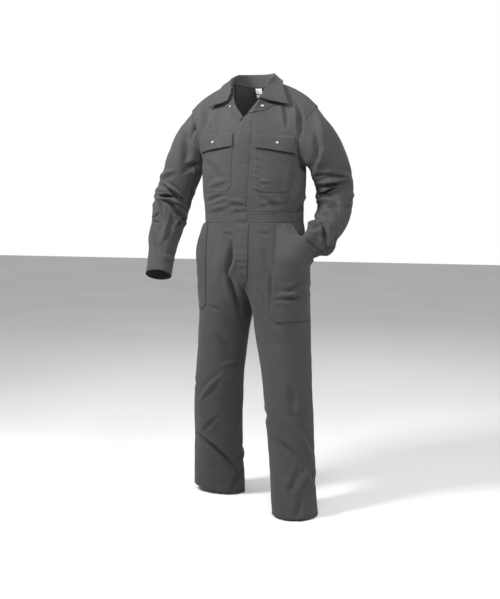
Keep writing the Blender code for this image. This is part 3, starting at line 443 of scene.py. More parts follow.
    Crease(FRONT, (0.010, -0.528), (0.062, -0.536), 0.0065, -0.0030, 0.002),
    Crease(FRONT, (-0.118, -0.530), (-0.060, -0.541), 0.0065, -0.0030, 0.002),
]
print("creases:", len(CREASES))

# %% [markdown]
# ## How a crease moves the cloth
# All points go through the creases together as one array, which is quick. A crease fades at its
# ends and only touches the side of the garment that it is seen on. The waist also has elastic
# inside its band, which gathers the cloth into small upright folds at the sides and the back.

# %% The measures of creases and gathers
NEAR_SIDE = 0.055       # a crease reaches this deep behind the surface that it is placed on
BESIDE = 1.7            # the opposite fold next to a crease, in widths
BESIDE_SHARE = 0.45     # and its height, as a part of the crease's own
TAPER = 0.35            # a crease is narrower by this part at its ends
BEYOND = 0.6            # it dies out this far past them, in widths
END_SHARE = 0.35        # it starts with this part of its height
END_RUN = 0.35          # and has all of it after this part of its length
GATHER = 0.0030         # height of a gather
GATHER_PITCH = 0.0145   # from one gather to the next, round the waist
WAIST_ROUND = 0.155     # mean radius of the waist
PLAIN_FRONT, PLAIN_BLEND = 1.15, 0.25       # radians round from the front without gathers
TORSO_X, TORSO_BLEND = 0.215, 0.02          # the gathers stop before the sleeves
SOFT, SOFT_SMALL = 0.0009, 0.0005           # heights of the slow and the quicker unevenness
print(f"gathers all round the waist would be {math.tau * WAIST_ROUND / GATHER_PITCH:.0f}")


# %% A search tree and an easing curve
def surface_tree(meshes):
    """One search tree over several meshes."""
    places, faces = [], []
    for mesh in meshes:
        base = len(places)
        mesh.verts.index_update()
        places += [vertex.co.copy() for vertex in mesh.verts]
        faces += [[base + vertex.index for vertex in face.verts] for face in mesh.faces]
    return BVHTree.FromPolygons(places, faces)


def ease(value):
    """0 below 0, 1 above 1, and a smooth S between, for arrays."""
    value = np.clip(value, 0.0, 1.0)
    return value * value * (3.0 - 2.0 * value)


# %% Displacement by creases and gathers
def crease_heights(points, tree):
    """How far each of the points is moved outwards by all creases together."""
    total = np.zeros(len(points))
    for crease in CREASES:
        turn = math.radians(crease.turn)
        right = np.array([math.cos(turn), math.sin(turn), 0.0])
        look = np.array([-math.sin(turn), math.cos(turn), 0.0])
        ends = []
        for across, up in (crease.start, crease.end):
            eye = Vector(right * across - look) + Vector((0.0, 0.0, up))
            touch = tree.ray_cast(eye, Vector(look))[0]
            ends.append(np.array(touch) if touch else None)
        if ends[0] is None and ends[1] is None:
            print("a crease misses the cloth:", crease)
            continue
        depth = [look @ end if end is not None else None for end in ends]
        depth = [own if own is not None else depth[1 - i] for i, own in enumerate(depth)]
        flat = np.stack([points @ right, points[:, 2]], axis=1)
        start, end = np.array(crease.start), np.array(crease.end)
        run = end - start
        length = np.linalg.norm(run)
        along = (flat - start) @ run / length
        part = np.clip(along / length, 0.0, 1.0)
        beyond = along - part * length
        side = (flat - start) @ np.array([-run[1], run[0]]) / length
        side = side - crease.bow * 4.0 * part * (1.0 - part)
        width = crease.width * (1.0 - TAPER + TAPER * np.sin(math.pi * part))
        behind = np.abs(points @ look - (depth[0] + (depth[1] - depth[0]) * part))
        fade = np.exp(-(beyond / (BEYOND * crease.width)) ** 2) * ease(2.0 - behind / NEAR_SIDE)
        fade *= END_SHARE + (1.0 - END_SHARE) * ease(part / END_RUN) * ease((1.0 - part) / END_RUN)
        main = np.exp(-(side / width) ** 2)
        other = np.exp(-((np.abs(side) - BESIDE * width) / width) ** 2)
        total += crease.height * fade * (main - BESIDE_SHARE * other)
    return total


def gather_heights(points):
    """Upright gathers of the elastic at the sides and the back of the waist."""
    turn = np.arctan2(points[:, 0], -points[:, 1])
    around = turn * WAIST_ROUND
    wave = np.sin(math.tau * around / GATHER_PITCH +
                  1.4 * np.sin(7.0 * turn) + 0.6 * np.sin(17.0 * turn))
    off = np.maximum(points[:, 2] - BAND_TOP_Z, BAND_FOOT_Z - points[:, 2])
    level = 1.0 - ease(off / GATHER_FADE)
    inside_torso = ease((TORSO_X - np.abs(points[:, 0])) / TORSO_BLEND)
    place = ease((np.abs(turn) - PLAIN_FRONT) / PLAIN_BLEND)
    return GATHER * wave * level * place * inside_torso


def soft_heights(points):
    """A slow unevenness, so that no stretch of cloth is perfectly even."""
    x, y, z = points.T
    return (SOFT * np.sin(31.0 * x + 17.0 * z + 2.0 * np.sin(11.0 * y)) *
            np.sin(23.0 * z - 13.0 * y + 1.5 * np.sin(19.0 * x)) +
            SOFT_SMALL * np.sin(67.0 * x - 41.0 * z) * np.sin(59.0 * y + 47.0 * z))


# %% Move the panels
smooth_tree = surface_tree(sheets.values())
for node, mesh in sheets.items():
    points = np.array([vertex.co for vertex in mesh.verts])
    heights = crease_heights(points, smooth_tree) + gather_heights(points) + soft_heights(points)
    for vertex, height in zip(mesh.verts, heights):
        vertex.co += outward[vertex] * height
cloth_tree = surface_tree(sheets.values())
print(f"folds of {node}: {heights.min() * 1000:.1f} to {heights.max() * 1000:.1f} mm")

# %% [markdown]
# ## Twill
# Cotton twill is woven so that each thread passes over the next ones one step further along,
# which leaves fine diagonal ribs. The ribs are a wave across the flat pattern, so they follow the
# grain of every piece. Slow noise varies the dye and a long thin noise gives the uneven yarn. Where
# the cloth is doubled at an edge it is painted a little paler: rubbed wear on the panels, and on
# the doubled trims a stronger pale line that is wear plus a painted highlight along the rolled
# edge.
# Each sheet carries a number, "edge", that says how near its edge a point is. A painted picture of
# cloth would need a file and would blur from near, and nodes don't.

# %% Node helpers
RIB = 0.0011            # distance between two ribs of the twill
WAVE_SCALE = 3.2        # a wave texture of scale 1 has about this many bands to a unit
RIB_SLANT = math.radians(62)
YARN_GRAIN = (900.0, 45.0, 1.0)     # the uneven yarn is this fine across and along the grain
ROWS = [(0.0, 0.0), (0.10, 1.0), (0.15, 0.45), (0.21, 1.0), (0.58, 1.0), (0.65, 0.55), (0.73, 1.0)]


def new_material(name, roughness, metallic=0.0):
    """A material with its Principled shader and two short helpers for nodes and links."""
    made = bpy.data.materials.new(name)
    made.use_nodes = True
    tree = made.node_tree
    shader = tree.nodes["Principled BSDF"]
    shader.inputs["Roughness"].default_value = roughness
    shader.inputs["Metallic"].default_value = metallic

    def node(kind, **settings):
        fresh = tree.nodes.new("ShaderNode" + kind)
        for key, value in settings.items():
            if hasattr(fresh, key):
                setattr(fresh, key, value)
            else:
                fresh.inputs[key.replace("_", " ")].default_value = value
        return fresh
    return made, shader, node, tree.links.new


def grey(level):
    """A neutral grey as a colour."""
    return (level, level, level)


def ramp(node, low, high, dark, light):
    """A colour ramp between two colours."""
    made = node("ValToRGB")
    made.color_ramp.elements[0].position = low
    made.color_ramp.elements[1].position = high
    made.color_ramp.elements[0].color = (*dark, 1.0)
    made.color_ramp.elements[1].color = (*light, 1.0)
    return made


def product(node, link, first, second):
    """The product of two colours."""
    made = node("Mix", data_type="RGBA", blend_type="MULTIPLY")
    made.inputs[0].default_value = 1.0
    link(first, made.inputs[6])
    link(second, made.inputs[7])
    return made.outputs[2]


# %% The twill
def twill(name, colour, edge_wear_and_highlight):
    """Cotton twill of one colour; the last argument is the paler colour painted near its edges,
    rubbed wear and, on the doubled trims, also a painted highlight.
    """
    made, shader, node, link = new_material(name, 0.88)
    shader.inputs["Specular IOR Level"].default_value = 0.22
    shader.inputs["Sheen Weight"].default_value = 0.06
    shader.inputs["Sheen Roughness"].default_value = 0.55
    place = node("TexCoord")
    pattern_map = node("UVMap", uv_map="pattern")
    slant = node("Mapping")
    slant.inputs["Rotation"].default_value = (0.0, 0.0, RIB_SLANT)
    link(pattern_map.outputs["UV"], slant.inputs["Vector"])
    rib = node("TexWave", wave_type="BANDS", bands_direction="X",
               Scale=1.0 / (RIB * WAVE_SCALE), Distortion=2.4, Detail=2.0)
    rib.inputs["Detail Scale"].default_value = 1.2
    link(slant.outputs["Vector"], rib.inputs["Vector"])
    long_way = node("Mapping")
    long_way.inputs["Scale"].default_value = YARN_GRAIN
    link(pattern_map.outputs["UV"], long_way.inputs["Vector"])
    yarn = node("TexNoise", Scale=1.0, Detail=3.0)
    link(long_way.outputs["Vector"], yarn.inputs["Vector"])
    cloud = node("TexNoise", Scale=9.0, Detail=4.0, Roughness=0.55)
    link(place.outputs["Object"], cloud.inputs["Vector"])
    fuzz = node("TexNoise", Scale=420.0, Detail=2.0)
    link(place.outputs["Object"], fuzz.inputs["Vector"])

    def shade(amount):
        return [tuple(c * part for c in colour) for part in (1.0 - amount, 1.0 + amount)]
    cloudy = ramp(node, 0.35, 0.65, *shade(0.07))
    link(cloud.outputs["Fac"], cloudy.inputs["Fac"])
    ribs = ramp(node, 0.15, 0.85, grey(0.90), grey(1.07))
    link(rib.outputs["Fac"], ribs.inputs["Fac"])
    slubs = ramp(node, 0.30, 0.70, grey(0.90), grey(1.09))
    link(yarn.outputs["Fac"], slubs.inputs["Fac"])
    woven = product(node, link, cloudy.outputs["Color"], ribs.outputs["Color"])
    # near the edge the colour is mixed towards the paler edge colour, patchy along the yarn: rubbed
    # wear, and on the doubled trims also a painted highlight along the rolled edge
    edge = node("Attribute", attribute_name="edge")
    edge_wear_and_highlight_mix = node("Mix", data_type="RGBA")
    link(product(node, link, woven, slubs.outputs["Color"]), edge_wear_and_highlight_mix.inputs[6])
    edge_wear_and_highlight_mix.inputs[7].default_value = (*edge_wear_and_highlight, 1.0)
    near = ramp(node, 0.05, 0.22, grey(0.75), grey(0.0))
    link(edge.outputs["Fac"], near.inputs["Fac"])
    patchy = node("Math", operation="MULTIPLY")
    link(near.outputs["Color"], patchy.inputs[0])
    link(yarn.outputs["Fac"], patchy.inputs[1])
    link(patchy.outputs["Value"], edge_wear_and_highlight_mix.inputs[0])
    link(edge_wear_and_highlight_mix.outputs[2], shader.inputs["Base Color"])

    rough = node("MapRange")
    rough.inputs["To Min"].default_value = 0.80
    rough.inputs["To Max"].default_value = 0.94
    link(cloud.outputs["Fac"], rough.inputs["Value"])
    link(rough.outputs["Result"], shader.inputs["Roughness"])
    # relief: ribs, yarn and fuzz, then the small puckers that a row of stitches pulls up
    ridges = node("Math", operation="MULTIPLY_ADD")
    link(yarn.outputs["Fac"], ridges.inputs[0])
    ridges.inputs[1].default_value = 0.6
    link(rib.outputs["Fac"], ridges.inputs[2])
    hairy = node("Math", operation="MULTIPLY_ADD")
    link(fuzz.outputs["Fac"], hairy.inputs[0])
    hairy.inputs[1].default_value = 0.5
    link(ridges.outputs["Value"], hairy.inputs[2])
    weave = node("Bump", Strength=0.28, Distance=0.0004)
    link(hairy.outputs["Value"], weave.inputs["Height"])
    pull = node("TexNoise", Scale=105.0, Detail=1.0)
    link(place.outputs["Object"], pull.inputs["Vector"])
    band = ramp(node, 0.02, 0.75, grey(1.0), grey(0.0))
    link(edge.outputs["Fac"], band.inputs["Fac"])
    pucker = node("Math", operation="MULTIPLY")
    link(pull.outputs["Fac"], pucker.inputs[0])
    link(band.outputs["Color"], pucker.inputs[1])
    seam = node("Bump", Strength=0.55, Distance=0.0022)
    link(pucker.outputs["Value"], seam.inputs["Height"])
    link(weave.outputs["Normal"], seam.inputs["Normal"])
    # the two stitch rows press a groove beside the edge, and the edge itself rolls down
    groove = node("ValToRGB")
    line = groove.color_ramp
    while len(line.elements) < len(ROWS):
        line.elements.new(0.5)
    for element, (position, level) in zip(line.elements, ROWS):
        element.position = position
        element.color = (*grey(level), 1.0)
    link(edge.outputs["Fac"], groove.inputs["Fac"])
    rows = node("Bump", Strength=0.8, Distance=0.0011)
    link(groove.outputs["Color"], rows.inputs["Height"])
    link(seam.outputs["Normal"], rows.inputs["Normal"])
    link(rows.outputs["Normal"], shader.inputs["Normal"])
    return made


CHARCOAL = (0.040, 0.0385, 0.0415)
CHARCOAL_TRIM = (0.038, 0.0365, 0.0395)
# the first edge colour is rubbed wear on the panels; the second, far paler, is rubbed wear plus a
# painted highlight along the rolled edges of the doubled trims
RUBBED = (0.058, 0.056, 0.060)
RUBBED_AND_HIGHLIGHT_TRIM = (0.120, 0.117, 0.122)
body_twill = twill("charcoal twill", CHARCOAL, RUBBED)
trim_twill = twill("charcoal twill, doubled", CHARCOAL_TRIM, RUBBED_AND_HIGHLIGHT_TRIM)
print("cloth:", body_twill.name, "and", trim_twill.name)

# %% [markdown]
# ## Thread, steel and satin
# Three more finishes are small: polyester thread with a twist, satin steel with scratches from
# handling, and white woven tape. Each takes its colour from one texture, and the steel and the
# tape also a faint relief, so one helper wires the texture and another the relief.

# %% The small finishes


def tinted(finish, kind, low, high, dark, light, **settings):
    """Colours a finish by one texture on Object coordinates and returns the texture's level."""
    _, shader, node, link = finish
    place = node("TexCoord")
    texture = node(kind, **settings)
    link(place.outputs["Object"], texture.inputs["Vector"])
    tone = ramp(node, low, high, dark, light)
    link(texture.outputs["Fac"], tone.inputs["Fac"])
    link(tone.outputs["Color"], shader.inputs["Base Color"])
    return texture.outputs["Fac"]


def relief(finish, level, strength):
    """Presses a texture faintly into a finish."""
    _, shader, node, link = finish
    bump = node("Bump", Strength=strength, Distance=0.0002)
    link(level, bump.inputs["Height"])
    link(bump.outputs["Normal"], shader.inputs["Normal"])


def thread_material():
    """Polyester thread: a twist along each stitch."""
    finish = new_material("thread", 0.6)
    tinted(finish, "TexNoise", 0.3, 0.7, (0.022, 0.021, 0.023), (0.046, 0.045, 0.048),
           Scale=900.0, Detail=1.0)
    return finish[0]


def steel_material():
    """Satin steel with fine scratches from handling."""
    finish = made, shader, node, link = new_material("press stud steel", 0.3, metallic=1.0)
    scratch = tinted(finish, "TexNoise", 0.3, 0.7, (0.27, 0.27, 0.28), (0.42, 0.42, 0.43),
                     Scale=1400.0, Detail=3.0)
    rough = node("MapRange")
    rough.inputs["To Min"].default_value = 0.22
    rough.inputs["To Max"].default_value = 0.42
    link(scratch, rough.inputs["Value"])
    link(rough.outputs["Result"], shader.inputs["Roughness"])
    relief(finish, scratch, 0.15)
    return made


def satin_material():
    """White woven satin tape: fine threads across, no print."""
    finish = made, shader, _, _ = new_material("label satin", 0.5)
    shader.inputs["Sheen Weight"].default_value = 0.3
    tape = tinted(finish, "TexWave", 0.2, 0.8, (0.80, 0.80, 0.79), (0.90, 0.90, 0.89),
                  wave_type="BANDS", bands_direction="Z", Scale=900.0, Distortion=0.6)
    relief(finish, tape, 0.2)
    return made


thread = thread_material()
steel = steel_material()
satin = satin_material()
print("materials:", len(bpy.data.materials))

# %% [markdown]
# ## Giving the cloth its thickness
# A Solidify modifier puts the wall back, inwards from the sheet. The piece then stands for its
# node and rides on the one body.

# %% The fields of a cutter's list
Cut = namedtuple("Cut", "width length area held")

# %% Finish a piece of cloth
FOLD = math.radians(50)     # a closed wall's edges are the folds sharper than this
EDGE_REACH = 0.012          # the edge number runs from 0 at the edge to 1 this far in


def rim_edges(mesh):
    """The outline of an open sheet, or the sharp folds of a closed wall."""
    rim = [edge for edge in mesh.edges if edge.is_boundary]
    return rim or [edge for edge in mesh.edges if edge.calc_face_angle(0.0) > FOLD]


def rim_tree(mesh):
    """A search tree of points along the edge of a sheet."""
    rim = rim_edges(mesh)
    tree = KDTree(len(rim) * SAMPLES)
    for edge in rim:
        a, b = edge.verts
        for i in range(SAMPLES):
            tree.insert(a.co.lerp(b.co, i / SAMPLES), 0)
    tree.balance()
    return tree


def mark_edge(mesh):
    """Stores on every vertex how near it is to the sheet's edge, from 0 to 1."""
    tree = rim_tree(mesh)
    layer = mesh.verts.layers.float.new("edge")
    for vertex in mesh.verts:
        vertex[layer] = min(tree.find(vertex.co)[2] / EDGE_REACH, 1.0)


def mesh_object(name, mesh, mat, keep=False):
    """Turns a bmesh into a named object with one material."""
    data = bpy.data.meshes.new(name)
    mesh.to_mesh(data)
    if not keep:
        mesh.free()
    data.shade_smooth()
    data.materials.append(mat)
    made = bpy.data.objects.new(name, data)
    bpy.context.scene.collection.objects.link(made)
    return made


def piece_of_cloth(node, mesh, wall, mat):
    """A finished sheet: its edge number, its thickness, its body and its node."""
    mark_edge(mesh)
    made = mesh_object("cloth_" + node, mesh, mat, keep=True)
    if wall:
        thick = made.modifiers.new("Solidify", "SOLIDIFY")
        thick.thickness = wall
        thick.offset = -1.0
        thick.use_quality_normals = True
    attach(made, "root")
    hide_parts(node)


for node, mesh in sheets.items():
    piece_of_cloth(node, mesh, PANEL_WALL, body_twill)
print("panels finished:", len(sheets))

# %% [markdown]
# ## Pieces that lie on a panel
# Pockets, flaps, placket, waistband end and fly are cut straight and sewn flat on the panel under
# them. Their facets are only divided, not rounded, so that their outline stays straight. Every
# point then keeps its height above the panel, but measured from the finished, creased cloth.

# %% Lay a piece on the finished cloth
LIFT = 0.0007           # extra height, so that the piece never sinks into a crease
TRIM_CELL = 0.0045      # facets of a sewn-on piece are this small
MOST_CUTS = 7
TUCK_DEPTH = -0.0012    # a tucked edge ends this far under the cloth
TUCK_REACH = 0.008      # and starts to go down this far before its edge
FACING = 0.75           # an edge faces a direction when it is this near to it, as a cosine
cad_panels = []
for node in PANELS:
    coarse = bmesh.new()
    coarse.from_mesh(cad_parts[node].data)
    cad_panels.append(coarse)
cad_tree = surface_tree(cad_panels)


def divide(mesh, cell):
    """Cuts all facets until no edge is longer than cell."""
    for _ in range(MOST_CUTS):
        long_edges = [edge for edge in mesh.edges if edge.calc_length() > cell]
        if not long_edges:
            break
        bmesh.ops.subdivide_edges(mesh, edges=long_edges, cuts=1, use_grid_fill=True)
        bmesh.ops.triangulate(mesh, faces=[f for f in mesh.faces if len(f.verts) > 4])


def flat_pattern(mesh):
    """Unwraps a small sheet through a temporary object and returns it as a bmesh again."""
    data = bpy.data.meshes.new("sheet")
    mesh.to_mesh(data)
    mesh.free()
    obj = bpy.data.objects.new("sheet", data)
    bpy.context.scene.collection.objects.link(obj)
    data.uv_layers.new(name="pattern")
    size, area = pattern(obj)
    fresh = bmesh.new()
    fresh.from_mesh(data)
    bpy.data.objects.remove(obj, do_unlink=True)
    return fresh, size, area


def tucked(mesh, tucks):
    """Rows of points along those edges of a sheet that go into a seam."""
    mesh.normal_update()
    rows = []
    for edge in mesh.edges:
        if edge.is_boundary:
            loop = edge.link_loops[0]
            run = loop.link_loop_next.vert.co - loop.vert.co
            inward = loop.face.normal.cross(run).normalized()
            if any(inward.dot(Vector(way)) > FACING for way in tucks):
                rows += [loop.vert.co.lerp(loop.link_loop_next.vert.co, i / SAMPLES)
                         for i in range(SAMPLES)]
    tree = KDTree(len(rows))
    for i, place in enumerate(rows):
        tree.insert(place, i)
    tree.balance()
    return tree if rows else None


def stand_on(place):
    """The nearest point of the finished cloth, its normal, and the height over the plain panel."""
    height = (place - cad_tree.find_nearest(place)[0]).length
    touch, normal = cloth_tree.find_nearest(place)[:2]
    return touch, normal, height


def soften(mesh):
    """Evens the inside of a sheet out a little and leaves its outline alone."""
    bmesh.ops.smooth_vert(mesh, verts=[v for v in mesh.verts if not v.is_boundary], factor=0.5,
                          use_axis_x=True, use_axis_y=True, use_axis_z=True)


def lay_on_cloth(mesh, extra=lambda place: 0.0, tucks=()):
    """Moves a sheet's points to their height above the finished cloth; extra adds to the height."""
    seam = tucked(mesh, tucks)
    places = []
    for vertex in mesh.verts:
        touch, normal, height = stand_on(vertex.co)
        height += LIFT + extra(vertex.co)
        if seam:
            down = 1.0 - float(ease(np.array(seam.find(vertex.co)[2] / TUCK_REACH)))
            height += (TUCK_DEPTH - height) * down
        places.append((touch, normal, height))
    for vertex, (touch, normal, height) in zip(mesh.verts, places):
        vertex.co = touch + normal * height


print("panels to lie on:", len(cad_panels))

# %% [markdown]
# ## Pockets, flaps, placket and fly
# Sewing pulls each of these pieces a little differently. Rows of stitches ripple the placket and
# the fly, the chest pockets lie flat, and the flaps arch over the pocket under them. Edges that
# disappear into a seam are tucked under the cloth.

# %% Lay the sewn-on pieces
PULL_HEIGHT, PULL_REACH, PULL_PITCH = 0.0016, 0.009, 0.0145     # puckers along the placket's row


def puckers(pitch, height):
    """Small level ripples, as a row of stitches pulls up along a strip."""
    def ripple(place):
        wave = math.sin(math.tau * place.z / pitch + 1.3 * math.sin(place.z * 61.0) + 9.0 * place.x)
        return height * (0.55 + 0.45 * wave) * (0.6 + 0.4 * math.sin(place.z * 37.0))
    return ripple


placket_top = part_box("placket")[1]
ROW_LEAN = 0.062        # the placket's stitch row leans sideways by this much on its way up
ROW_X = placket_top[0] - 0.009 - ROW_LEAN * placket_top[2]      # 9 mm inside the placket's edge


def pulled_front(place):
    """The placket: level ripples, and short slanting puckers along its sewn-down stitch row."""
    row = place.x - ROW_X - ROW_LEAN * place.z
    pulls = math.sin(math.tau * (place.z + 0.7 * row) / PULL_PITCH +
                     1.7 * math.sin(place.z * 47.0))
    level = puckers(0.031, 0.0008)(place)
    return PULL_HEIGHT * pulls * math.exp(-(row / PULL_REACH) ** 2) + level


def flap_arch(place):
    """The foot of a flap curls up a little towards its middle."""
    return 0.0012 * (1.0 + math.sin(place.x * 52.0))


def pressed_flat(place):
    """A chest pocket lies without the extra height."""
    return -LIFT


ON_PANELS = {
    "placket": pulled_front,
    "waistband_lap": puckers(0.015, 0.0006),
    "fly": puckers(0.026, 0.0027),
    "chest_pocket_left": pressed_flat,
    "chest_pocket_right": pressed_flat,
    "chest_flap_left": flap_arch,
    "chest_flap_right": flap_arch,
}
RIGHT_EDGE, FOOT, TOP = (-1.0, 0.0, 0.0), (0.0, 0.0, 1.0), (0.0, 0.0, -1.0)
TUCKS = {"placket": (RIGHT_EDGE, FOOT), "waistband_lap": (RIGHT_EDGE, FOOT, TOP),
         "fly": (TOP,), "chest_flap_left": (TOP,), "chest_flap_right": (TOP,)}
trims = {}
for node, extra in ON_PANELS.items():
    mesh, size, area = flat_pattern(outer_sheet(node, TRIM_WALL, False))
    divide(mesh, TRIM_CELL)
    lay_on_cloth(mesh, extra, TUCKS.get(node, ()))
    soften(mesh)
    piece_of_cloth(node, mesh, TRIM_WALL, trim_twill)
    trims[node] = mesh
    print(f"{node}: cut {size[0]:.3f} x {size[1]:.3f} m, {area:.4f} m2, {len(mesh.faces)} facets")

# %% [markdown]
# ## Hip pockets
# A hip pocket is sewn down on three sides and open along a slanted mouth. Where it lies on the
# leg it follows the leg's creases. Where it stands off, over the cuff inside it or at its mouth,
# it keeps its own rounded form.

# %% Hip pockets
LIES_ON = 0.006         # up to this height a pocket follows the leg
STANDS_OFF = 0.016      # and from this height it keeps its own form
POCKET_CELL = TRIM_CELL * 1.3


def hip_pocket(node, levels):
    """A patch pocket; levels says how often its face is subdivided before it is laid."""
    mesh = smooth_sheet(node, outer_sheet(node, TRIM_WALL, False), levels)
    if levels < 2:
        divide(mesh, POCKET_CELL)
    mesh.normal_update()
    points = np.array([vertex.co for vertex in mesh.verts])
    creased = crease_heights(points, smooth_tree)
    places = []
    for vertex, move in zip(mesh.verts, creased):
        touch, normal, height = stand_on(vertex.co)
        free = float(ease(np.array((height - LIES_ON) / (STANDS_OFF - LIES_ON))))
        own = vertex.co + vertex.normal * float(move)
        places.append((touch + normal * (height + LIFT)).lerp(own, free))
    for vertex, place in zip(mesh.verts, places):
        vertex.co = place
    soften(mesh)
    piece_of_cloth(node, mesh, TRIM_WALL, body_twill)
    return mesh


trims["hip_pocket_left"] = hip_pocket("hip_pocket_left", 1)
trims["hip_pocket_right"] = hip_pocket("hip_pocket_right", 3)

# %% [markdown]
# ## Collar and lapels
# The collar is one doubled band that stands up from the neck seam, rolls over and lies on the
# shoulders. The lapels are the turned-out tops of the fronts. Both are doubled cloth with an
# interlining, so they keep smoother curves than the panels.

# %% Collar
COLLAR_LEVELS = 2
LEAF_TOP, LEAF_FOOT = (-0.072, -0.005), (-0.106, -0.071)    # across and up, seen from the front
LEAF_OUT = 0.02         # the part that is cut off lies this far out from the neck's middle
LEAF_BELOW = 0.004      # and this far under the cut's upper end
COLLAR_SOFT, COLLAR_SOFT_SMALL = 0.0007, 0.0005
NECK_REACH = 0.016      # this far above the neck seam the collar bends towards it
NECK_GAP = 0.0135       # the collar's foot hangs at most this far from the panels
NECK_ROUND = 0.090      # and lies within this radius
SEAM_DROP = 0.0015      # it ends this far under the neck edge
SETTLE = 0.5            # the leaves sink by this part of their distance to the shoulders
SETTLE_FROM = 0.006     # beyond this distance
LEAF_FROM, LEAF_BLEND = 0.080, 0.020        # the leaves start this far out from the middle


def open_leaf(mesh):
    """Cuts the front end of the right leaf off along a slant, so that the lapel shows."""
    turn = math.radians(FRONT)
    right = Vector((math.cos(turn), math.sin(turn), 0))
    look = Vector((-math.sin(turn), math.cos(turn), 0))
    top, foot = (right * across + Vector((0, 0, up)) for across, up in (LEAF_TOP, LEAF_FOOT))
    facing = look.cross(top - foot).normalized()
    if facing.dot(right) < 0:
        facing = -facing

    def at_leaf(face):
        middle = face.calc_center_median()
        low = middle.z < LEAF_TOP[1] - LEAF_BELOW
        return low and middle.dot(look) < -LEAF_OUT and middle.x < 0
    near = [face for face in mesh.faces if at_leaf(face)]
    cut = near + list({e for f in near for e in f.edges}) + list({v for f in near for v in f.verts})
    bmesh.ops.bisect_plane(mesh, geom=cut, plane_co=top, plane_no=facing, clear_outer=True)


def sew_to_neck(mesh):
    """Brings the foot of the collar down on the neck edge of the panels."""
    edge = [(vertex, cloth_tree.find_nearest(vertex.co))
            for vertex in mesh.verts if vertex.is_boundary]
    seam = [(vertex, found[0]) for vertex, found in edge if found[3] < NECK_GAP and
            (vertex.co.z < found[0].z + NECK_GAP) and vertex.co.to_2d().length < NECK_ROUND]
    tree = KDTree(len(seam))
    for i, (vertex, touch) in enumerate(seam):
        tree.insert(vertex.co, i)
    tree.balance()
    moves = []
    for vertex in mesh.verts:
        _, i, away = tree.find(vertex.co)
        pull = seam[i][1] - seam[i][0].co + Vector((0.0, 0.0, -SEAM_DROP))
        moves.append(pull * (1.0 - float(ease(np.array(away / NECK_REACH)))))
    for vertex, move in zip(mesh.verts, moves):
        vertex.co += move
    print("collar seam points:", len(seam))


def settle_leaves(mesh):
    """Lets the turned-down front leaves sink towards the shoulders."""
    for vertex in mesh.verts:
        touch, normal, _, away = cloth_tree.find_nearest(vertex.co)
        out = vertex.co.to_2d().length
        leaf = float(ease(np.array((out - LEAF_FROM) / LEAF_BLEND))) if vertex.co.y < 0.0 else 0.0
        if away > SETTLE_FROM and (vertex.co - touch).dot(normal) > 0:
            vertex.co += (touch - vertex.co) * (SETTLE * leaf * (1.0 - SETTLE_FROM / away))


collar = smooth_sheet("collar", outer_sheet("collar", COLLAR_WALL, True), COLLAR_LEVELS)
open_leaf(collar)
collar.normal_update()
for vertex in collar.verts:
    x, y, z = vertex.co
    wave = (COLLAR_SOFT * math.sin(43.0 * x + 29.0 * y) +
            COLLAR_SOFT_SMALL * math.sin(71.0 * z))
    vertex.co += vertex.normal * wave
sew_to_neck(collar)
settle_leaves(collar)
piece_of_cloth("collar", collar, COLLAR_WALL, trim_twill)
trims["collar"] = collar


# %% Lapels
def lapel(node):
    """A lapel keeps its closed wall. Its facets are made smaller, so that it follows the cloth."""
    mesh = bmesh.new()
    mesh.from_mesh(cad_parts[node].data)
    bmesh.ops.remove_doubles(mesh, verts=mesh.verts[:], dist=MERGE)
    mesh = flat_pattern(mesh)[0]
    divide(mesh, TRIM_CELL)
    lay_on_cloth(mesh)
    piece_of_cloth(node, mesh, 0.0, trim_twill)
    return mesh


for node in ("lapel_left", "lapel_right"):
    trims[node] = lapel(node)
    print(f"{node}: {len(trims[node].faces)} facets")

# %% [markdown]
# ## Labels
# Two blank woven labels lie inside the back neck, a larger one and a smaller one. They are thin
# tape, so they follow the inner side of the back panel, a little off it, and keep clear of its
# creases.

# %% Labels
LABEL_CELL = 0.002
LABEL_WALL = TRIM_WALL * 0.6
LABEL_ROOM = PANEL_WALL + TRIM_WALL + 0.0012    # from the outer face of the back to the label
for node in ("label_main", "label_size"):
    mesh, _, area = flat_pattern(outer_sheet(node, TRIM_WALL, False))
    divide(mesh, LABEL_CELL)
    for vertex in mesh.verts:
        touch, normal = cloth_tree.find_nearest(vertex.co)[:2]
        vertex.co = touch - normal * LABEL_ROOM
    piece_of_cloth(node, mesh, LABEL_WALL, satin)
    print(f"{node}: {len(mesh.faces)} facets, {area:.5f} m2")

# %% [markdown]
# ## Press studs
# The cap of a press stud is a turned piece: a flat disc with a rolled rim and a shallow dish in
# the middle. Half of its section is spun round the axis, once per stud, and set on the cloth.

# %% Press studs
STUD_RADIUS = 0.0046
STUD_STEPS = 24
STUD_LIFT = 0.0002      # the cap stands this far off the cloth
STUD_SECTION = [            # out from the axis, in radii, and up, in metres
    (0.0, 0.0011), (0.45, 0.0010), (0.62, 0.0013), (0.80, 0.0021), (0.93, 0.0018),
    (1.0, 0.0009), (0.96, 0.0)]


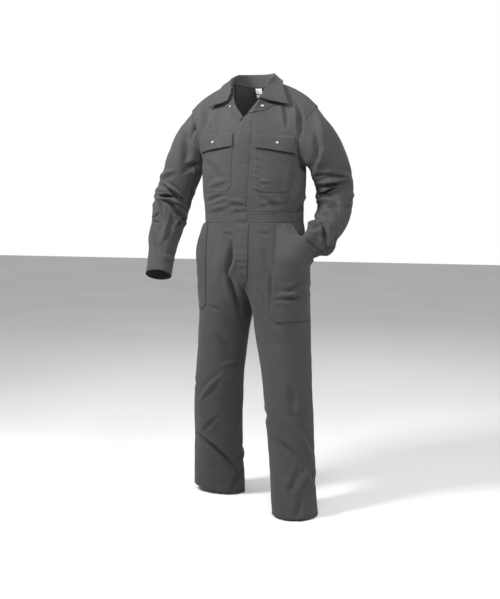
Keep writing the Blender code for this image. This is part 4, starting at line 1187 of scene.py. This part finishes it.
def press_stud(node, under):
    """A spun cap on the outer face of the piece under it."""
    low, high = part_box(node)
    centre = (Vector(low) + Vector(high)) / 2
    touch, normal = surface_tree([under]).find_nearest(centre)[:2]
    if normal.y > 0:
        normal = -normal
    mesh = bmesh.new()
    ring = [mesh.verts.new((part * STUD_RADIUS, 0.0, height)) for part, height in STUD_SECTION]
    edges = [mesh.edges.new(pair) for pair in zip(ring, ring[1:])]
    bmesh.ops.spin(mesh, geom=ring + edges, cent=(0, 0, 0), axis=(0, 0, 1), angle=math.tau,
                   steps=STUD_STEPS, use_merge=True)
    bmesh.ops.remove_doubles(mesh, verts=mesh.verts[:], dist=MERGE)
    rim = [edge for edge in mesh.edges if edge.is_boundary]
    bmesh.ops.contextual_create(mesh, geom=rim)
    bmesh.ops.recalc_face_normals(mesh, faces=mesh.faces[:])
    turn = normal.to_track_quat("Z", "Y").to_matrix().to_4x4()
    turn.translation = touch + normal * STUD_LIFT
    bmesh.ops.transform(mesh, matrix=turn, verts=mesh.verts[:])
    made = mesh_object(node + "_cap", mesh, steel)
    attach(made, "root")
    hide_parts(node)


for side in ("left", "right"):
    press_stud("stud_lapel_" + side, trims["lapel_" + side])
    press_stud("stud_flap_" + side, trims["chest_flap_" + side])
print("press studs: 4")

# %% [markdown]
# ## Stitch rows
# The seams and the sewn-on pieces are topstitched in one or two rows. A row follows the outline
# of its piece at a fixed distance. Each stitch is a small pointed bead, and all the stitches of a
# group are made as one joined mesh from arrays.

# %% Rows along an outline
STITCH_PITCH = 0.0035   # from one stitch to the next
STITCH = (0.00130, 0.00030, 0.00028)    # half length, half width, half height
FIRST_ROW, SECOND_ROW, HEM_ROW = 0.0018, 0.0078, 0.018      # how far inside the edge they run
SHORT_STITCH = 0.5      # a step shorter than this part of the pitch gets no stitch
NEAR_EDGE = 0.85        # nor does one that a corner brings nearer to the edge than this part
FEWEST = 4              # an outline with fewer points is a leftover and gets none


def outlines(mesh):
    """The outline of a sheet as closed rows of points, each with its direction inwards."""
    mesh.normal_update()
    follow = {}
    for edge in mesh.edges:
        if edge.is_boundary:
            loop = edge.link_loops[0]
            start, end = loop.vert, loop.link_loop_next.vert
            follow[start] = (end, loop.face.normal.cross(end.co - start.co).normalized())
    rows = []
    while follow:
        vertex = next(iter(follow))
        row = []
        while vertex in follow:
            after, inward = follow.pop(vertex)
            row.append((vertex.co.copy(), inward))
            vertex = after
        rows.append(row)
    return rows


def stitch_row(mesh, inset, keep=None):
    """Places of the stitches of one row: centre, direction and normal."""
    surface, rim = surface_tree([mesh]), rim_tree(mesh)
    places = []
    for row in outlines(mesh):
        if len(row) < FEWEST:
            continue
        shifted = [point + (row[i - 1][1] + inward).normalized() * inset
                   for i, (point, inward) in enumerate(row)]
        shifted.append(shifted[0])
        line = np.array(shifted)
        run = np.concatenate([[0.0], np.cumsum(np.linalg.norm(np.diff(line, axis=0), axis=1))])
        marks = np.arange(0.0, run[-1], STITCH_PITCH)
        even = np.stack([np.interp(marks, run, line[:, i]) for i in range(3)], axis=1)
        for start, end in zip(even, even[1:]):
            middle, step = Vector((start + end) / 2), Vector(end - start)
            short = step.length < STITCH_PITCH * SHORT_STITCH
            if short or keep and not keep(middle, step.normalized()):
                continue
            if inset < HEM_ROW and rim.find(middle)[2] < inset * NEAR_EDGE:
                continue
            touch, normal = surface.find_nearest(middle)[:2]
            if normal:
                places.append((touch, step.normalized(), normal))
    return places


def beads(name, places):
    """One joined mesh of pointed beads for many stitches."""
    middle, along, out = (np.array(column) for column in zip(*places))
    across = np.cross(out, along)
    across /= np.linalg.norm(across, axis=1)[:, None]
    length, width, height = STITCH
    corners = np.stack([middle + along * length, middle - along * length,
                        middle + across * width, middle - across * width,
                        middle + out * height, middle - out * height], axis=1)
    sides = np.array([(0, 2, 4), (2, 1, 4), (1, 3, 4), (3, 0, 4),
                      (2, 0, 5), (1, 2, 5), (3, 1, 5), (0, 3, 5)])
    faces = sides[None] + 6 * np.arange(len(middle))[:, None, None]
    data = bpy.data.meshes.new(name)
    data.from_pydata(corners.reshape(-1, 3).tolist(), [], faces.reshape(-1, 3).tolist())
    data.shade_smooth()
    data.materials.append(thread)
    made = bpy.data.objects.new(name, data)
    bpy.context.scene.collection.objects.link(made)
    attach(made, "root")
    print(f"{name}: {len(middle)} stitches")


# %% [markdown]
# ## Which piece gets which rows
# Every seam has one row close to it. The pieces that carry a felled seam, the pockets and the
# flaps have a second row. Hems and the open cuff have one row higher up, at the turned-up edge,
# which is kept only where it runs level along the foot of the piece.

# %% Stitch the panels and the pieces on them
HEM_REACH = 0.06        # a hem row lies this near to the foot of its piece
LEVEL = 0.5             # and doesn't climb more than this part of its way


def hem_of(node):
    """Keeps only the stitches that run along the foot of a piece."""
    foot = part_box(node)[0][2]
    return lambda middle, step: middle.z < foot + HEM_REACH and abs(step.z) < LEVEL


DOUBLE = ["back", "sleeve_upper_left", "sleeve_upper_right", "leg_back_left", "leg_back_right"]
body_rows, limb_rows, trim_rows = [], [], []
for node, mesh in sheets.items():
    rows = body_rows if node.startswith(("back", "front", "waist")) else limb_rows
    rows += stitch_row(mesh, FIRST_ROW)
    if node in DOUBLE:
        rows += stitch_row(mesh, SECOND_ROW)
for node in ("leg_front_left", "leg_front_right", "leg_back_left", "leg_back_right",
             "sleeve_upper_right", "sleeve_under_right"):
    limb_rows += stitch_row(sheets[node], HEM_ROW, hem_of(node))
for node, mesh in trims.items():
    if node.startswith("lapel"):
        continue
    trim_rows += stitch_row(mesh, FIRST_ROW)
    if "pocket" in node or "flap" in node:
        trim_rows += stitch_row(mesh, SECOND_ROW)
beads("stitches_body", body_rows)
beads("stitches_limbs", limb_rows)
beads("stitches_details", trim_rows)

# %% [markdown]
# ## Floor, light and camera
# A pale floor, white paper behind the suit and four lamps leave the cloth's own greys to do the
# work. The small key lamp on the wearer's right draws the folds, and the larger ones soften the
# shadows. The camera stands to the wearer's left of the front, a little above the waist, and
# looks slightly down. It has a longish lens, so the suit keeps its proportions.

# %% Stage
FLOOR_SIZE = 30.0
FLOOR_Z = cad_box[0][2] - 0.002     # just under the hems


def plain_floor():
    """A large pale floor just under the hems."""
    finish = new_material("pale floor", 0.9)
    tinted(finish, "TexNoise", 0.3, 0.7, grey(0.78), grey(0.82), Scale=0.8, Detail=2.0)
    mesh = bmesh.new()
    bmesh.ops.create_grid(mesh, x_segments=2, y_segments=2, size=FLOOR_SIZE / 2)
    bmesh.ops.translate(mesh, verts=mesh.verts[:], vec=(0.0, 0.0, FLOOR_Z))
    mesh_object("floor", mesh, finish[0])


def lamp(name, place, aim, size, power):
    """A square area lamp that looks at a point."""
    light = bpy.data.lights.new(name, "AREA")
    light.size = size
    light.energy = power
    made = bpy.data.objects.new(name, light)
    made.location = place
    made.rotation_euler = (Vector(aim) - Vector(place)).to_track_quat("-Z", "Y").to_euler()
    bpy.context.scene.collection.objects.link(made)


LAMPS = {       # where it stands, what it looks at, its side in metres and its watts
    "key": ((-1.2, -1.25, 0.95), (0.0, 0.0, -0.3), 0.5, 82.0),
    "top": ((0.45, -1.25, 0.75), (0.0, 0.0, -0.1), 0.5, 17.0),
    "fill": ((2.2, -1.3, 1.2), (0.0, 0.0, -0.2), 1.2, 50.0),
    "back": ((0.6, 3.0, 1.8), (0.0, 0.0, -0.5), 2.0, 22.0),
}
plain_floor()
for name, (place, aim, size, power) in LAMPS.items():
    lamp(name, place, aim, size, power)
print("lamps:", len(LAMPS))

# %% [markdown]
# ## Paper and camera
# The world is white where the paper hangs, opposite the camera, and dimmer all round, as a room
# is. The change is gradual, so that no edge of it shows in the cloth. Its middle is the way the
# camera's turn points, and it stays there when the suit is seen from another side.

# %% World and camera
CAMERA_TURN = math.radians(FRONT)
CAMERA_DISTANCE, CAMERA_Z = 3.39, -0.442
CAMERA_AIM = (-0.014, -0.005, -0.77)
LENS, SENSOR = 56.7, 36.0       # millimetres
PAPER_FULL, PAPER_END = math.radians(29), math.radians(42)      # from the paper's middle
ROOM = 0.44             # how bright the room is, where the paper is 1


def paper_world():
    """White paper behind the clothes, and a dimmer room in all other directions."""
    world = bpy.data.worlds.new("studio")
    bpy.context.scene.world = world
    world.use_nodes = True
    tree = world.node_tree
    background = tree.nodes["Background"]
    background.inputs["Color"].default_value = (1.0, 1.0, 1.0, 1.0)
    place = tree.nodes.new("ShaderNodeTexCoord")
    facing = tree.nodes.new("ShaderNodeVectorMath")
    facing.operation = "DOT_PRODUCT"
    facing.inputs[1].default_value = (-math.sin(CAMERA_TURN), math.cos(CAMERA_TURN), 0.0)
    tree.links.new(place.outputs["Generated"], facing.inputs[0])
    level = tree.nodes.new("ShaderNodeMapRange")
    level.inputs["From Min"].default_value = math.cos(PAPER_END)
    level.inputs["From Max"].default_value = math.cos(PAPER_FULL)
    level.inputs["To Min"].default_value = ROOM
    level.inputs["To Max"].default_value = 1.0
    tree.links.new(facing.outputs["Value"], level.inputs["Value"])
    tree.links.new(level.outputs["Result"], background.inputs["Strength"])


paper_world()
bpy.context.scene.view_settings.view_transform = "Standard"
camera_data = bpy.data.cameras.new("camera")
camera_data.lens = LENS
camera_data.sensor_width = SENSOR
camera = bpy.data.objects.new("camera", camera_data)
camera.location = (CAMERA_DISTANCE * math.sin(CAMERA_TURN),
                   -CAMERA_DISTANCE * math.cos(CAMERA_TURN), CAMERA_Z)
aim = Vector(CAMERA_AIM)
camera.rotation_euler = (aim - camera.location).to_track_quat("-Z", "Y").to_euler()
bpy.context.scene.collection.objects.link(camera)
bpy.context.scene.camera = camera
print("camera at", [round(value, 2) for value in camera.location])
